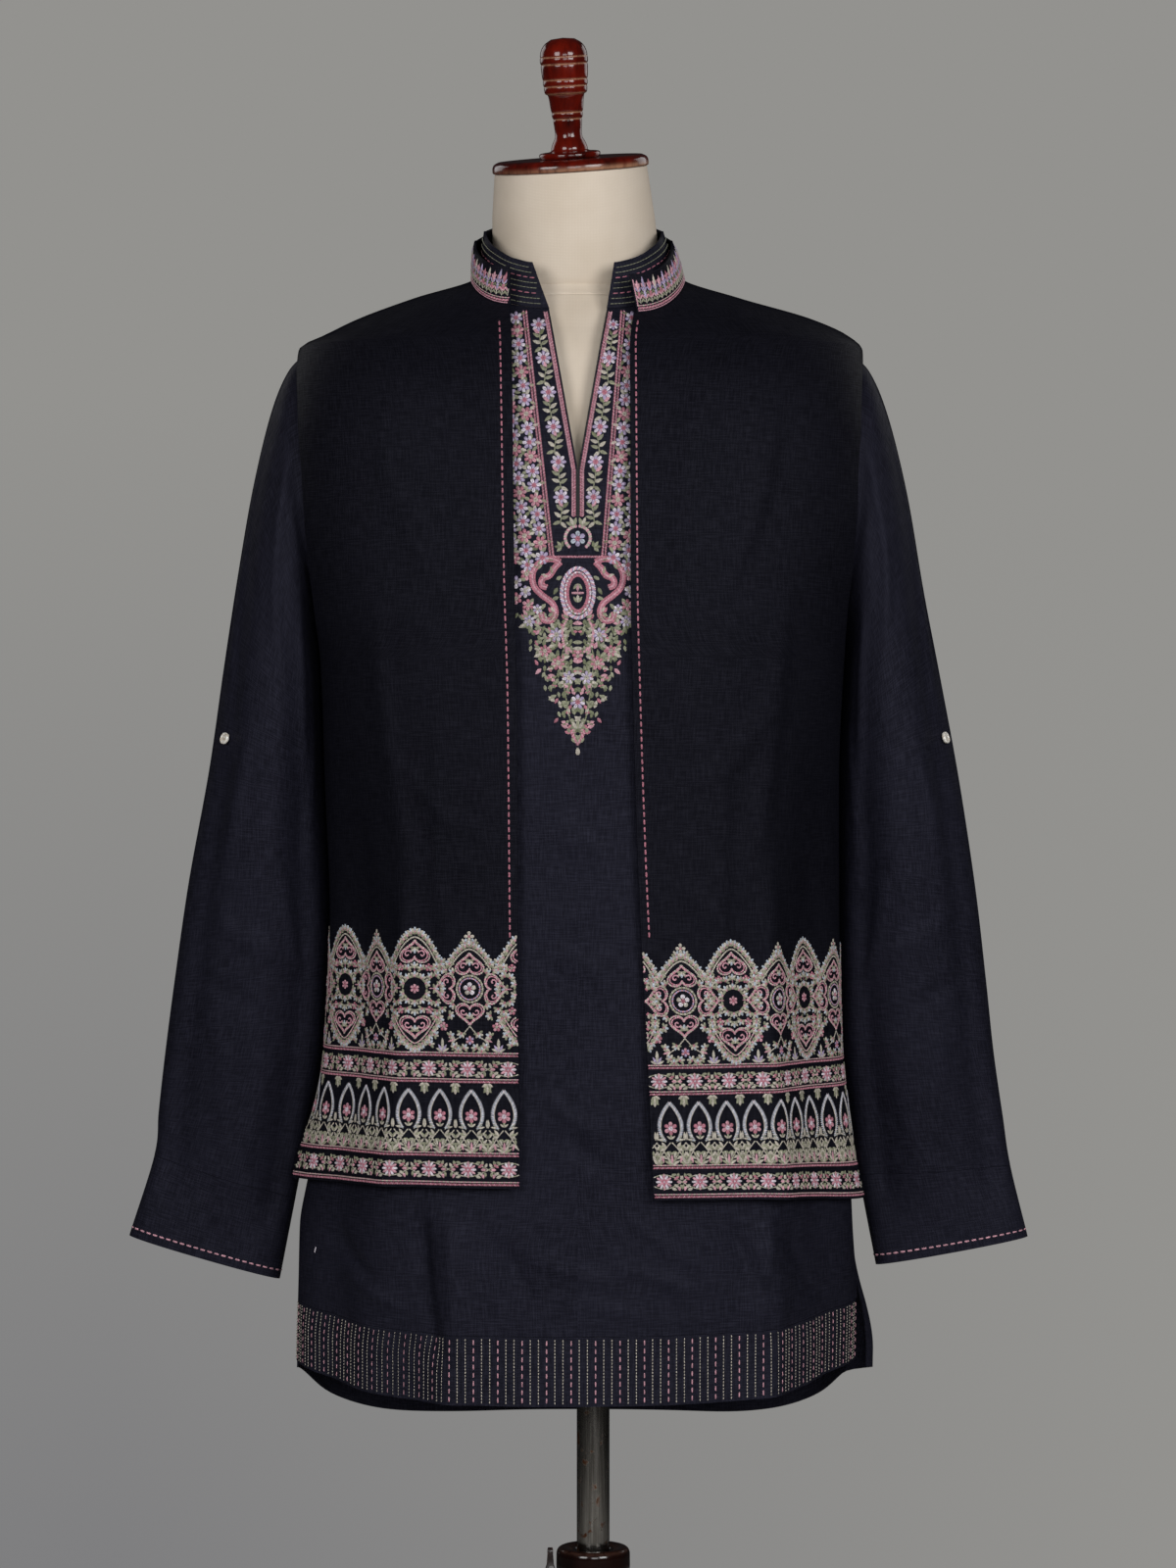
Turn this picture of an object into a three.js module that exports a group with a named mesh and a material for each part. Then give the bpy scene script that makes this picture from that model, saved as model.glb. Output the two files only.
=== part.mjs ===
// A short kurta and an open sleeveless waistcoat on a limbless dress form and its stand.
// Millimetres, +Z up, the wearer's front towards -Y, the origin on the floor under the pole.
import * as THREE from 'three';
import { mergeVertices } from 'three/addons/utils/BufferGeometryUtils.js';

// ---- driving dimensions -------------------------------------------------------------------

const CENTRE_X = -11.6; // the garments hang this far to the left of the pole's axis
const SEAM_GAP = 0.3; // between two pieces sewn together
const ARMHOLE_GAP = 0.6; // wider where the seam runs round a tight curve
const KURTA_CLOTH = 1.2; // wall of the kurta
const WAISTCOAT_CLOTH = 1.8; // wall of the waistcoat, cloth and embroidery
const COLLAR_CLOTH = 2.0; // folded and fused stand collars
const COLLAR_INSET = 0.4; // a collar stands this far inside its neckline
const COLLAR_DRIFT = 3.5; // the neck leans to the left, and a collar's top edge with it

const POLE = { radius: 12.7, bottom: 300, top: 930 };
const COLUMN = { radius: 28.5, bore: 13.2, boreFloor: 60, top: 510, foot: 62, footHeight: 14 };
const BASE = { radius: 190, height: 22, edge: 5 };
const LEVER = { height: 484, hubRadius: 6.5, hubLength: 9, reach: 25, wing: 4.2, clearance: 0.3 };
const SOCKET = { radius: 13.2, top: 935 }; // blind bore in the form that takes the pole

const NECK_CAP = { radius: 60.5, thickness: 8.8, x: -17.4, y: -3, z: 1577 };
const NECK_TILT = { forward: 11, sideways: -3.6 }; // degrees
const BUTTON = { radius: 4.6, thickness: 3.2, height: 1124 };
// Degrees round the sleeve from its outer point, and how far off the cloth its thread holds it.
const BUTTON_SEAT = { left: { turn: 45, stand: 1.5 }, right: { turn: 34, stand: 0.7 } };

const RAD = Math.PI / 180;
const QUARTER = Math.PI / 2;

// ---- tables -------------------------------------------------------------------------------

// Rows with named columns.
function table(columns, rows) {
  return rows.map((row) => Object.fromEntries(columns.map((name, i) => [name, row[i]])));
}

const SECTION = ['z', 'left', 'right', 'front', 'back', 'round'];

// Horizontal sections of the kurta's body: half widths and depths from the centre, and the
// superellipse exponent.
const KURTA = table(SECTION, [
  [1506, 66, 66, 52, 67, 2.0],
  [1487.2, 76.5, 76.5, 60, 75, 1.95],
  [1474, 122.5, 125, 66, 84, 1.85],
  [1460, 166, 171.3, 76, 92, 1.9],
  [1446, 194, 199, 88, 99, 2.0],
  [1436, 211, 211, 95, 103, 2.1],
  [1400, 208, 208, 107, 110, 2.35],
  [1340, 203, 204, 119, 116, 2.5],
  [1270, 197, 200, 124, 117, 2.5],
  [1200, 192, 196, 125, 114, 2.4],
  [1080, 188, 194, 122, 110, 2.3],
  [960, 186, 195, 119, 107, 2.3],
  [870, 192, 199, 117, 106, 2.25],
  [790, 210, 211.5, 116, 108, 2.2],
  [720, 216.5, 215, 117, 110, 2.2],
  [640, 219, 213, 118, 112, 2.2],
  [590, 220, 216, 118, 114, 2.2],
]);

// The same for the waistcoat, which hangs over it.
const WAISTCOAT = table(SECTION, [
  [1513, 70, 70, 60, 74, 2.0],
  [1491, 82.5, 82.5, 68, 84, 1.95],
  [1476, 130, 128, 76, 92, 1.85],
  [1460, 173, 183, 86, 101, 1.9],
  [1448, 197, 209, 95.5, 106, 2.0],
  [1438, 216, 220, 103, 111, 2.1],
  [1402, 223.7, 226, 118, 119, 2.4],
  [1363, 226.4, 229, 125, 124, 2.6],
  [1316, 225, 229, 131, 125, 2.6],
  [1270, 218.4, 223, 133, 125, 2.6],
  [1230, 208.3, 213, 133.5, 124, 2.6],
  [1195, 199.5, 206, 133, 122, 2.5],
  [1100, 196, 202, 130, 118, 2.35],
  [1000, 192.5, 202.5, 127, 115, 2.3],
  [911, 196, 204, 125, 114, 2.25],
  [873, 200, 207, 125, 114.5, 2.25],
  [830, 211, 213, 125, 116, 2.2],
  [780, 224, 223, 126, 118, 2.2],
]);

// Horizontal sections of the dress form's torso and neck, with their own centres.
const FORM = table(['z', 'x', 'y', 'half', 'front', 'back', 'round'], [
  [785, -11.6, 0, 158, 86, 90, 2.2],
  [792, -11.6, 0, 164, 92, 96, 2.2],
  [900, -11.6, 0, 170, 96, 98, 2.2],
  [1000, -11.6, 0, 160, 94, 94, 2.2],
  [1090, -11.6, 0, 152, 96, 92, 2.2],
  [1190, -11.6, 0, 164, 106, 99, 2.3],
  [1280, -11.6, 0, 178, 111, 104, 2.4],
  [1350, -11.6, 0, 186, 106, 104, 2.4],
  [1400, -11.6, 0, 190, 95, 100, 2.3],
  [1430, -11.6, 0, 191, 85, 95, 2.15],
  [1442, -11.6, 0, 186, 78, 92, 2.0],
  [1446, -11.6, 0, 178.3, 75, 90, 1.95],
  [1460, -11.6, 0, 144, 66, 84, 1.85],
  [1474, -11.6, 0, 102.5, 56.5, 76.5, 1.8],
  [1482.5, -11.6, 0, 79.5, 51.5, 70.5, 1.85],
  [1485, -11.7, 0, 73.5, 53.2, 68.5, 1.9],
  [1488, -11.8, 0, 69.8, 54, 66.5, 1.95],
  [1497, -12.4, 0, 66.5, 56, 64, 2.0],
  [1515, -13.6, 0, 64.5, 58, 61.5, 2.0],
  [1540, -15.2, -1, 63, 59, 60, 2.0],
]);

// Set-in sleeves that hang empty. Each row is a ring seen from the front: its outer and inner
// points from the centre line, its half depth and how far back its centre lies.
const SLEEVE_ROW = ['outerX', 'outerZ', 'innerX', 'innerZ', 'depth', 'y'];
const SLEEVES = {
  left: table(SLEEVE_ROW, [
    [225, 1420, 198.5, 1231, 54, 2],
    [238, 1388, 200.5, 1219, 55, 2],
    [252, 1330, 201.5, 1200, 56, 3],
    [264, 1262, 202, 1172, 57, 5],
    [275, 1192, 201.5, 1137, 56, 8],
    [287, 1112, 200, 1090, 53, 12],
    [302, 1025, 198, 1030, 51, 18],
    [313, 948, 198, 962, 44, 21],
    [321, 890, 202, 893, 36, 25],
    [327, 845, 209.5, 832, 28, 29],
    [332, 811, 219, 777.5, 22, 31],
  ]),
  right: table(SLEEVE_ROW, [
    [226, 1420, 201, 1231, 54, 2],
    [240, 1386, 205, 1219, 55, 2],
    [255, 1325, 208, 1200, 56, 3],
    [268, 1250, 208.5, 1172, 57, 5],
    [281, 1184, 208, 1135, 56, 8],
    [296, 1105, 207, 1088, 53, 12],
    [309.5, 1020, 207, 1030, 51, 18],
    [318, 950, 207.5, 962, 44, 21],
    [324.5, 892, 209, 893, 36, 24],
    [332, 842, 213.5, 836, 28, 27],
    [338, 803.5, 218.5, 796, 22, 28],
  ]),
};
const CUFFS = {
  left: table(SLEEVE_ROW, [[332, 811, 219, 777.5, 22, 31], [352, 747.5, 234, 713.5, 17, 33]]),
  right: table(SLEEVE_ROW, [[338, 803.5, 218.5, 796, 22, 28], [352, 747, 233, 725, 17, 30]]),
};

// Where the panels end. Angles go round the body from the front: 90 is the viewer's right.
const KURTA_CUT = {
  cloth: KURTA_CLOTH, sections: KURTA,
  neckSide: 76.5, neckTop: 1487.2, neckFrontHalf: 22, neckFront: 1461, neckBack: 1505,
  tip: 1436, underarm: 1240, armFront: 25, armBack: 24,
  slitEnd: 1337, slitGap: 0.4,
};
const WAISTCOAT_CUT = {
  cloth: WAISTCOAT_CLOTH, sections: WAISTCOAT,
  neckSide: 82.5, neckTop: 1491, neckFrontHalf: { left: 51, right: 45 },
  neckFront: { left: 1463, right: 1456 }, neckBack: 1512,
  tip: 1438, underarm: 1195, armFront: 25, armBack: 24,
};

// Front edges of the waistcoat: distance from the centre line at each height.
const EDGES = {
  left: table(['z', 'x'], [[1463, 51], [1430, 48.5], [1250, 47], [1000, 45.5], [780, 43]]),
  right: table(['z', 'x'], [[1463, 45], [1430, 41.5], [1250, 41], [1030, 45.5], [910, 51], [770, 58]]),
};

// Hems, as heights at the middle of the piece and at its side corners, and how late they curve.
const HEMS = {
  bandSeam: { middle: 689, side: 703, curve: 4 },
  kurtaFront: { middle: 637, side: 656, curve: 4 },
  kurtaBack: { middle: 598, side: 648, curve: 6 },
  waistcoatBack: { middle: 797, side: 794, curve: 4 },
  left: { middle: 800, side: 798, curve: 4 },
  right: { middle: 791, side: 782, curve: 4 },
};
const KURTA_VENT = { top: 745, open: 2.2 }; // side vents, and their opening in degrees a side
const WAISTCOAT_VENT = { top: 878, open: 5.5 };

// The largest soft folds: where round the body, how wide, how deep, and between which heights.
const FOLD = ['angle', 'width', 'depth', 'top', 'bottom'];
const WAISTCOAT_FOLDS = table(FOLD, [
  [-86, 5, 4.0, 850, 780],
  [-66, 8, 4.0, 1180, 780],
  [-47, 7, -1.4, 1300, 780],
  [-31, 8, 2.2, 1000, 780],
  [35, 8, 2.0, 1050, 770],
  [56, 7, 3.8, 1240, 770],
  [72, 6, -1.2, 1150, 770],
  [118, 9, 3.0, 1150, 780],
  [158, 9, 2.6, 1100, 780],
  [-140, 10, 3.2, 1180, 780],
]);
const KURTA_FOLDS = table(FOLD, [
  [-70, 8, 3.0, 770, 590],
  [-38, 9, -3.5, 760, 590],
  [-8, 10, 2.5, 740, 590],
  [26, 9, -3.0, 770, 590],
  [58, 8, 3.2, 760, 590],
  [95, 4.5, 18, 745, 590],
  [120, 9, 3.0, 740, 590],
  [148, 9, -3.5, 740, 590],
  [-120, 10, 4.0, 740, 590],
  [-158, 9, -3.0, 740, 590],
]);
// Long folds of the sleeves: the angle round the ring, from its outer point towards the front.
const SLEEVE_FOLDS = table(FOLD, [
  [48, 15, -3.5, 1330, 880],
  [96, 14, 3.5, 1300, 900],
  [132, 14, -4.5, 1260, 840],
  [230, 20, -3.5, 1300, 860],
]);

// Stations along a neckline in degrees: from the shoulder seam to the front end, and to the
// centre of the back.
const NECK_FRONT = [0, 14, 28, 43, 59, 75, 90];
const NECK_BACK = [0, 15, 30, 46, 62, 90];
const HALF_COLUMNS = 9; // across a front panel
const BACK_COLUMNS = 16;
const ARM_STEPS = 8; // rows between the shoulder tip and the underarm

// ---- helpers ------------------------------------------------------------------------------

// The value of a column at a height, by a monotone cubic through the rows.
function at(rows, column, z) {
  const up = rows[0].z < rows[rows.length - 1].z;
  const sorted = up ? rows : [...rows].reverse();
  const last = sorted.length - 1;
  if (z <= sorted[0].z) return sorted[0][column];
  if (z >= sorted[last].z) return sorted[last][column];
  let i = 0;
  while (z > sorted[i + 1].z) i += 1;
  const rate = (k) => {
    const a = sorted[k];
    const b = sorted[k + 1];
    return (b[column] - a[column]) / (b.z - a.z);
  };
  const slope = (k) => {
    if (k === 0) return rate(0);
    if (k === last) return rate(last - 1);
    const before = rate(k - 1);
    const after = rate(k);
    return before * after <= 0 ? 0 : (2 * before * after) / (before + after);
  };
  const span = sorted[i + 1].z - sorted[i].z;
  const t = (z - sorted[i].z) / span;
  const t2 = t * t;
  const t3 = t2 * t;
  return (2 * t3 - 3 * t2 + 1) * sorted[i][column] + (t3 - 2 * t2 + t) * span * slope(i)
    + (3 * t2 - 2 * t3) * sorted[i + 1][column] + (t3 - t2) * span * slope(i + 1);
}

const smooth = (t) => {
  const c = Math.min(Math.max(t, 0), 1);
  return c * c * (3 - 2 * c);
};

const power = (value, exponent) => Math.sign(value) * Math.abs(value) ** exponent;

// How far the folds move a point outwards. A fold fades in below its top.
function foldDepth(folds, degrees, z) {
  let depth = 0;
  for (const fold of folds) {
    const off = ((degrees - fold.angle + 540) % 360) - 180;
    const fade = smooth((fold.top - z) / (0.55 * (fold.top - fold.bottom)));
    depth += fold.depth * fade * Math.exp(-((off / fold.width) ** 2));
  }
  return depth;
}

// A point of a body section, at an angle in radians from the front.
function sectionPoint(cut, angle, z) {
  const side = Math.sin(angle);
  const fore = Math.cos(angle);
  const half = at(cut.sections, side < 0 ? 'left' : 'right', z);
  const depth = at(cut.sections, fore > 0 ? 'front' : 'back', z);
  const exponent = 2 / at(cut.sections, 'round', z);
  const folds = cut === KURTA_CUT ? KURTA_FOLDS : WAISTCOAT_FOLDS;
  const out = foldDepth(folds, angle / RAD, z);
  return new THREE.Vector3(
    CENTRE_X + half * power(side, exponent) + out * side,
    -depth * power(fore, exponent) - out * fore,
    z,
  );
}

// The outward normal there. The shoulder seam's crease at the neck isn't looked past.
function sectionNormal(cut, angle, z) {
  const turn = 0.02;
  const rise = 1.5;
  const top = Math.min(z + rise, Math.max(z, cut.neckTop));
  const round = sectionPoint(cut, angle + turn, z).sub(sectionPoint(cut, angle - turn, z));
  const up = sectionPoint(cut, angle, top).sub(sectionPoint(cut, angle, z - rise));
  return round.cross(up).normalize();
}

// The outer and inner points of a cloth wall, moved by a seam's shift.
function wall(point, normal, thickness, shift = new THREE.Vector3()) {
  const outer = point.clone().add(shift);
  return { outer, inner: outer.clone().addScaledVector(normal, -thickness) };
}

// The section's angle where a point lies at a distance from the centre line.
function angleOf(cut, z, distance, sign) {
  const half = at(cut.sections, sign < 0 ? 'left' : 'right', z);
  const share = Math.min(Math.abs(distance) / half, 1);
  return Math.asin(share ** (at(cut.sections, 'round', z) / 2));
}

// One closed solid from grids of wall points: both faces, and an edge face along each border.
function clothSolid(grids) {
  const points = [];
  const numbers = new Map();
  const number = (cell) => {
    const key = cell.outer.toArray().map((v) => v.toFixed(2)).join(',');
    if (!numbers.has(key)) {
      numbers.set(key, points.length);
      points.push(cell);
    }
    return numbers.get(key);
  };
  const faces = [];
  for (const grid of grids) {
    for (let r = 0; r + 1 < grid.length; r += 1) {
      for (let c = 0; c + 1 < grid[r].length; c += 1) {
        const ring = [grid[r][c], grid[r][c + 1], grid[r + 1][c + 1], grid[r + 1][c]].map(number);
        faces.push([ring[0], ring[1], ring[2]], [ring[0], ring[2], ring[3]]);
      }
    }
  }
  const kept = faces.filter(([a, b, c]) => a !== b && b !== c && a !== c);
  const used = new Set(kept.flatMap(([a, b, c]) => [`${a}_${b}`, `${b}_${c}`, `${c}_${a}`]));
  const count = points.length;
  const triangles = [];
  for (const [a, b, c] of kept) {
    triangles.push([a, b, c], [c + count, b + count, a + count]);
    for (const [p, q] of [[a, b], [b, c], [c, a]]) {
      if (!used.has(`${q}_${p}`)) triangles.push([q, p, p + count], [q, p + count, q + count]);
    }
  }
  return solidOf([...points.map((p) => p.outer), ...points.map((p) => p.inner)], triangles);
}

// A BufferGeometry from points and triangles, turned so that its faces point out.
function solidOf(points, triangles) {
  let volume = 0;
  for (const [a, b, c] of triangles) {
    volume += points[a].dot(points[b].clone().cross(points[c]));
  }
  const ordered = volume < 0 ? triangles.map(([a, b, c]) => [a, c, b]) : triangles;
  const geometry = new THREE.BufferGeometry();
  geometry.setAttribute(
    'position',
    new THREE.Float32BufferAttribute(points.flatMap((p) => p.toArray()), 3),
  );
  geometry.setIndex(ordered.flat());
  const welded = mergeVertices(geometry, 1e-3);
  welded.computeVertexNormals();
  return welded;
}

// A closed solid through rings of equal length, with a flat cap at each end.
function loftSolid(rings) {
  const sides = rings[0].length;
  const points = rings.flat();
  const triangles = [];
  for (let r = 0; r + 1 < rings.length; r += 1) {
    for (let i = 0; i < sides; i += 1) {
      const a = r * sides + i;
      const b = r * sides + ((i + 1) % sides);
      triangles.push([a, b, b + sides], [a, b + sides, a + sides]);
    }
  }
  const cap = (ring, offset, flip) => {
    const middle = ring.reduce((sum, p) => sum.add(p), new THREE.Vector3()).divideScalar(sides);
    points.push(middle);
    const centre = points.length - 1;
    for (let i = 0; i < sides; i += 1) {
      const a = offset + i;
      const b = offset + ((i + 1) % sides);
      triangles.push(flip ? [b, a, centre] : [a, b, centre]);
    }
  };
  cap(rings[0], 0, true);
  cap(rings[rings.length - 1], (rings.length - 1) * sides, false);
  return solidOf(points, triangles);
}

// ---- body panels --------------------------------------------------------------------------

const sideName = (sign) => (sign < 0 ? 'left' : 'right');
const ofSide = (value, sign) => (typeof value === 'object' ? value[sideName(sign)] : value);

// Heights of the rows that cut a front panel's neckline, shoulder and armhole, from the top.
function frontTopRows(cut, sign) {
  const front = ofSide(cut.neckFront, sign);
  const neck = NECK_FRONT.map((b) => cut.neckTop - (cut.neckTop - front) * Math.sin(b * RAD));
  const middle = (cut.tip + cut.underarm) / 2;
  const half = (cut.tip - cut.underarm) / 2;
  const arm = [...Array(ARM_STEPS + 1).keys()].map(
    (k) => middle + half * Math.cos((k * Math.PI) / ARM_STEPS),
  );
  return [...neck, (front + cut.tip) / 2, ...arm];
}

// A front neckline's distance from the centre line at a height.
function neckHalf(cut, sign, z) {
  const front = ofSide(cut.neckFront, sign);
  const start = ofSide(cut.neckFrontHalf, sign);
  const drop = Math.min((cut.neckTop - z) / (cut.neckTop - front), 1);
  return start + (cut.neckSide - start) * Math.sqrt(Math.max(1 - drop * drop, 0));
}

// The angle of the armhole's edge at a height, short of the side by this much.
function armholeTurn(cut, z, most) {
  const middle = (cut.tip + cut.underarm) / 2;
  const half = (cut.tip - cut.underarm) / 2;
  const off = Math.min(Math.abs(z - middle) / half, 1);
  return most * RAD * Math.sqrt(1 - off * off);
}

// How far a vent's edge stands back from the side seam.
function ventTurn(vent, z) {
  return vent.open * RAD * smooth((vent.top - z) / 60);
}

// The height of a hem at an angle. It rises towards its corners.
function hemHeight(hem, angle) {
  return hem.middle + (hem.side - hem.middle) * Math.abs(Math.sin(angle)) ** hem.curve;
}

// One half of a front: rows from the neck down to the armhole, flat rows, then rows that turn
// into the hem. The inner limit is a slit or a front edge.
function frontGrid(cut, sign, innerHalf, flatRows, hemRows, hem, vent) {
  const grid = [];
  const shift = new THREE.Vector3(0, -SEAM_GAP / 2, 0);
  const cellAt = (angle, z, atSeam) => wall(
    sectionPoint(cut, sign * angle, z), sectionNormal(cut, sign * angle, z), cut.cloth,
    atSeam ? shift : undefined,
  );
  const addRow = (z, share) => {
    const inner = angleOf(cut, z, innerHalf(z), sign);
    let outer = QUARTER;
    if (z < cut.tip && z > cut.underarm) outer -= armholeTurn(cut, z, cut.armFront);
    if (z < vent.top) outer -= ventTurn(vent, z);
    const row = [];
    const atPoint = QUARTER - inner < 1e-3; // the row where the neck meets the shoulder seam
    for (let c = 0; c <= HALF_COLUMNS; c += 1) {
      const angle = inner + (outer - inner) * (c / HALF_COLUMNS);
      const height = share === undefined ? z : z + (hemHeight(hem, angle) - z) * share;
      row.push(cellAt(angle, height, atPoint || (c === HALF_COLUMNS && outer > QUARTER - 0.2)));
    }
    grid.push(row);
  };
  frontTopRows(cut, sign).forEach((z) => addRow(z));
  flatRows.forEach((z) => addRow(z));
  hemRows.forEach((share) => addRow(flatRows[flatRows.length - 1], share));
  return grid;
}

// A back: rows from the centre of its neck down, from one side to the other.
function backGrid(cut, flatRows, hemRows, hem, vent) {
  const middle = (cut.tip + cut.underarm) / 2;
  const half = (cut.tip - cut.underarm) / 2;
  const rows = [...NECK_BACK].reverse().map((b) => ({
    z: cut.neckTop + (cut.neckBack - cut.neckTop) * Math.sin(b * RAD),
    limit: QUARTER + b * RAD,
  }));
  const front = 0.5 * (ofSide(cut.neckFront, -1) + ofSide(cut.neckFront, 1));
  [0.4, 1].forEach((k) => rows.push({ z: cut.neckTop + (front - cut.neckTop) * k, limit: QUARTER }));
  rows.push({ z: (front + cut.tip) / 2, limit: QUARTER });
  for (let k = 0; k <= ARM_STEPS; k += 1) {
    const z = middle + half * Math.cos((k * Math.PI) / ARM_STEPS);
    rows.push({ z, limit: QUARTER + armholeTurn(cut, z, cut.armBack) });
  }
  flatRows.forEach((z) => rows.push({ z, limit: QUARTER + ventTurn(vent, z) }));
  const last = flatRows[flatRows.length - 1];
  hemRows.forEach((share) => rows.push({ z: last, limit: QUARTER + ventTurn(vent, last), share }));
  const shift = new THREE.Vector3(0, SEAM_GAP / 2, 0);
  return rows.map(({ z, limit, share }) => {
    const row = [];
    for (let c = 0; c <= BACK_COLUMNS; c += 1) {
      const angle = limit + (2 * Math.PI - 2 * limit) * (c / BACK_COLUMNS);
      const height = share === undefined ? z : z + (hemHeight(hem, angle) - z) * share;
      const seam = (c === 0 || c === BACK_COLUMNS) && limit < QUARTER + 0.2;
      const turned = angle > Math.PI ? angle - 2 * Math.PI : angle;
      row.push(wall(
        sectionPoint(cut, turned, height), sectionNormal(cut, turned, height), cut.cloth,
        seam ? shift : undefined,
      ));
    }
    return row;
  });
}

// The kurta's front is one piece with an open slit at the neck.
function kurtaFront() {
  const flat = [1150, 1040, 930, 845, 790, KURTA_VENT.top, 720];
  const slit = (z) => {
    if (z > KURTA_CUT.neckFront) return neckHalf(KURTA_CUT, 1, z);
    const open = (z - KURTA_CUT.slitEnd) / (KURTA_CUT.neckFront - KURTA_CUT.slitEnd);
    return open <= 0 ? 0 : KURTA_CUT.slitGap + (KURTA_CUT.neckFrontHalf - KURTA_CUT.slitGap) * open;
  };
  const halves = [-1, 1].map((sign) => {
    const grid = frontGrid(KURTA_CUT, sign, slit, flat, [1], HEMS.bandSeam, KURTA_VENT);
    return sign < 0 ? grid.map((row) => [...row].reverse()) : grid;
  });
  return clothSolid(halves);
}

// The band along the kurta's front hem, sewn under the seam.
function kurtaHemBand() {
  const grid = [0, 0.5, 1].map((share) => {
    const row = [];
    for (let c = -HALF_COLUMNS; c <= HALF_COLUMNS; c += 1) {
      const limit = QUARTER - ventTurn(KURTA_VENT, 660);
      const angle = limit * (c / HALF_COLUMNS);
      const top = hemHeight(HEMS.bandSeam, angle) - SEAM_GAP;
      const z = top + (hemHeight(HEMS.kurtaFront, angle) - top) * share;
      row.push(wall(sectionPoint(KURTA_CUT, angle, z), sectionNormal(KURTA_CUT, angle, z), KURTA_CLOTH));
    }
    return row;
  });
  return clothSolid([grid]);
}

function kurtaBack() {
  const flat = [1150, 1040, 930, 845, 790, KURTA_VENT.top, 700];
  return clothSolid([backGrid(KURTA_CUT, flat, [0.5, 1], HEMS.kurtaBack, KURTA_VENT)]);
}

function waistcoatFront(sign) {
  const side = sideName(sign);
  const flat = [1120, 1030, 945, WAISTCOAT_VENT.top, 845];
  const edge = (z) => {
    const front = ofSide(WAISTCOAT_CUT.neckFront, sign);
    return z > front ? neckHalf(WAISTCOAT_CUT, sign, z) : at(EDGES[side], 'x', z);
  };
  return clothSolid([
    frontGrid(WAISTCOAT_CUT, sign, edge, flat, [0.5, 1], HEMS[side], WAISTCOAT_VENT),
  ]);
}

function waistcoatBack() {
  const flat = [1120, 1030, 945, WAISTCOAT_VENT.top, 845];
  return clothSolid([backGrid(WAISTCOAT_CUT, flat, [0.5, 1], HEMS.waistcoatBack, WAISTCOAT_VENT)]);
}

// ---- collars ------------------------------------------------------------------------------

// Points of a neckline from the front end on one side round the back to the other.
function neckline(cut) {
  const frontPoint = (sign, b) => {
    const front = ofSide(cut.neckFront, sign);
    const z = cut.neckTop - (cut.neckTop - front) * Math.sin(b * RAD);
    const angle = sign * angleOf(cut, z, neckHalf(cut, sign, z), sign);
    return { angle, z };
  };
  const backPoint = (sign, b) => ({
    angle: sign * (QUARTER + b * RAD),
    z: cut.neckTop + (cut.neckBack - cut.neckTop) * Math.sin(b * RAD),
  });
  const front = [...NECK_FRONT].reverse();
  return [
    ...front.map((b) => frontPoint(1, b)),
    ...NECK_BACK.slice(1).map((b) => backPoint(1, b)),
    ...NECK_BACK.slice(1, -1).reverse().map((b) => backPoint(-1, b)),
    ...NECK_FRONT.map((b) => frontPoint(-1, b)),
  ];
}

// A stand collar on a neckline: its height and lean run from the front ends to the back.
function collar(cut, shape) {
  const line = neckline(cut);
  const half = (line.length - 1) / 2;
  const rows = [0, 0.5, 1].map((up) => line.map(({ angle, z }, i) => {
    const back = 1 - Math.abs(i - half) / half; // 0 at the front ends, 1 at the back
    const base = sectionPoint(cut, angle, z);
    const out = new THREE.Vector3(base.x - CENTRE_X, base.y * 1.1, 0).normalize();
    const height = at(shape, 'height', back);
    const lean = at(shape, 'lean', back);
    const point = base.clone().addScaledVector(out, -lean * up ** 1.3 - COLLAR_INSET);
    point.z += SEAM_GAP + height * up;
    // The front ends are cut at a slant.
    const slant = at(shape, 'slant', back) * up;
    point.x += Math.sign(out.x || 1) * slant - COLLAR_DRIFT * up;
    const wallOut = out.clone();
    wallOut.z = lean / height / 1.3;
    return wall(point, wallOut.normalize(), COLLAR_CLOTH);
  }));
  return clothSolid([rows]);
}

// Along a collar, z runs from 0 at the front ends to 1 at the centre of the back.
const COLLAR_SHAPE = ['z', 'height', 'lean', 'slant'];
const KURTA_COLLAR = table(COLLAR_SHAPE, [
  [0, 35, 3, 10], [0.15, 36, 3.5, 1], [0.3, 39, 5, 0], [0.55, 42, 7, 0], [0.8, 42, 4, 0],
  [1, 42, 2, 0],
]);
const WAISTCOAT_COLLAR = table(COLLAR_SHAPE, [
  [0, 29, -1, -3], [0.15, 29, 0, 0], [0.3, 29.5, 3, 0], [0.55, 31, 6, 0], [0.8, 34, 3, 0],
  [1, 35, 2, 0],
]);

// ---- sleeves ------------------------------------------------------------------------------

// A ring of a hanging sleeve. The angle runs from the outer point to the front.
function sleeveRing(row, sign, folds) {
  const outer = new THREE.Vector3(CENTRE_X + sign * row.outerX, row.y, row.outerZ);
  const inner = new THREE.Vector3(CENTRE_X + sign * row.innerX, row.y, row.innerZ);
  const middle = outer.clone().add(inner).multiplyScalar(0.5);
  const across = outer.clone().sub(inner).multiplyScalar(0.5);
  const half = across.length();
  const axis = across.clone().normalize();
  const steps = 2 * ARM_STEPS;
  return [...Array(steps).keys()].map((k) => {
    const angle = (k / steps) * 2 * Math.PI;
    const out = folds ? foldDepth(SLEEVE_FOLDS, angle / RAD, middle.z) : 0;
    const reach = Math.cos(angle);
    const fore = Math.sin(angle);
    const point = middle.clone().addScaledVector(axis, (half + out) * power(reach, 0.9));
    point.y -= (row.depth + out) * power(fore, 0.9);
    const normal = axis.clone().multiplyScalar(reach / half);
    normal.y = -fore / row.depth;
    return wall(point, normal.normalize(), KURTA_CLOTH);
  });
}

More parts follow.
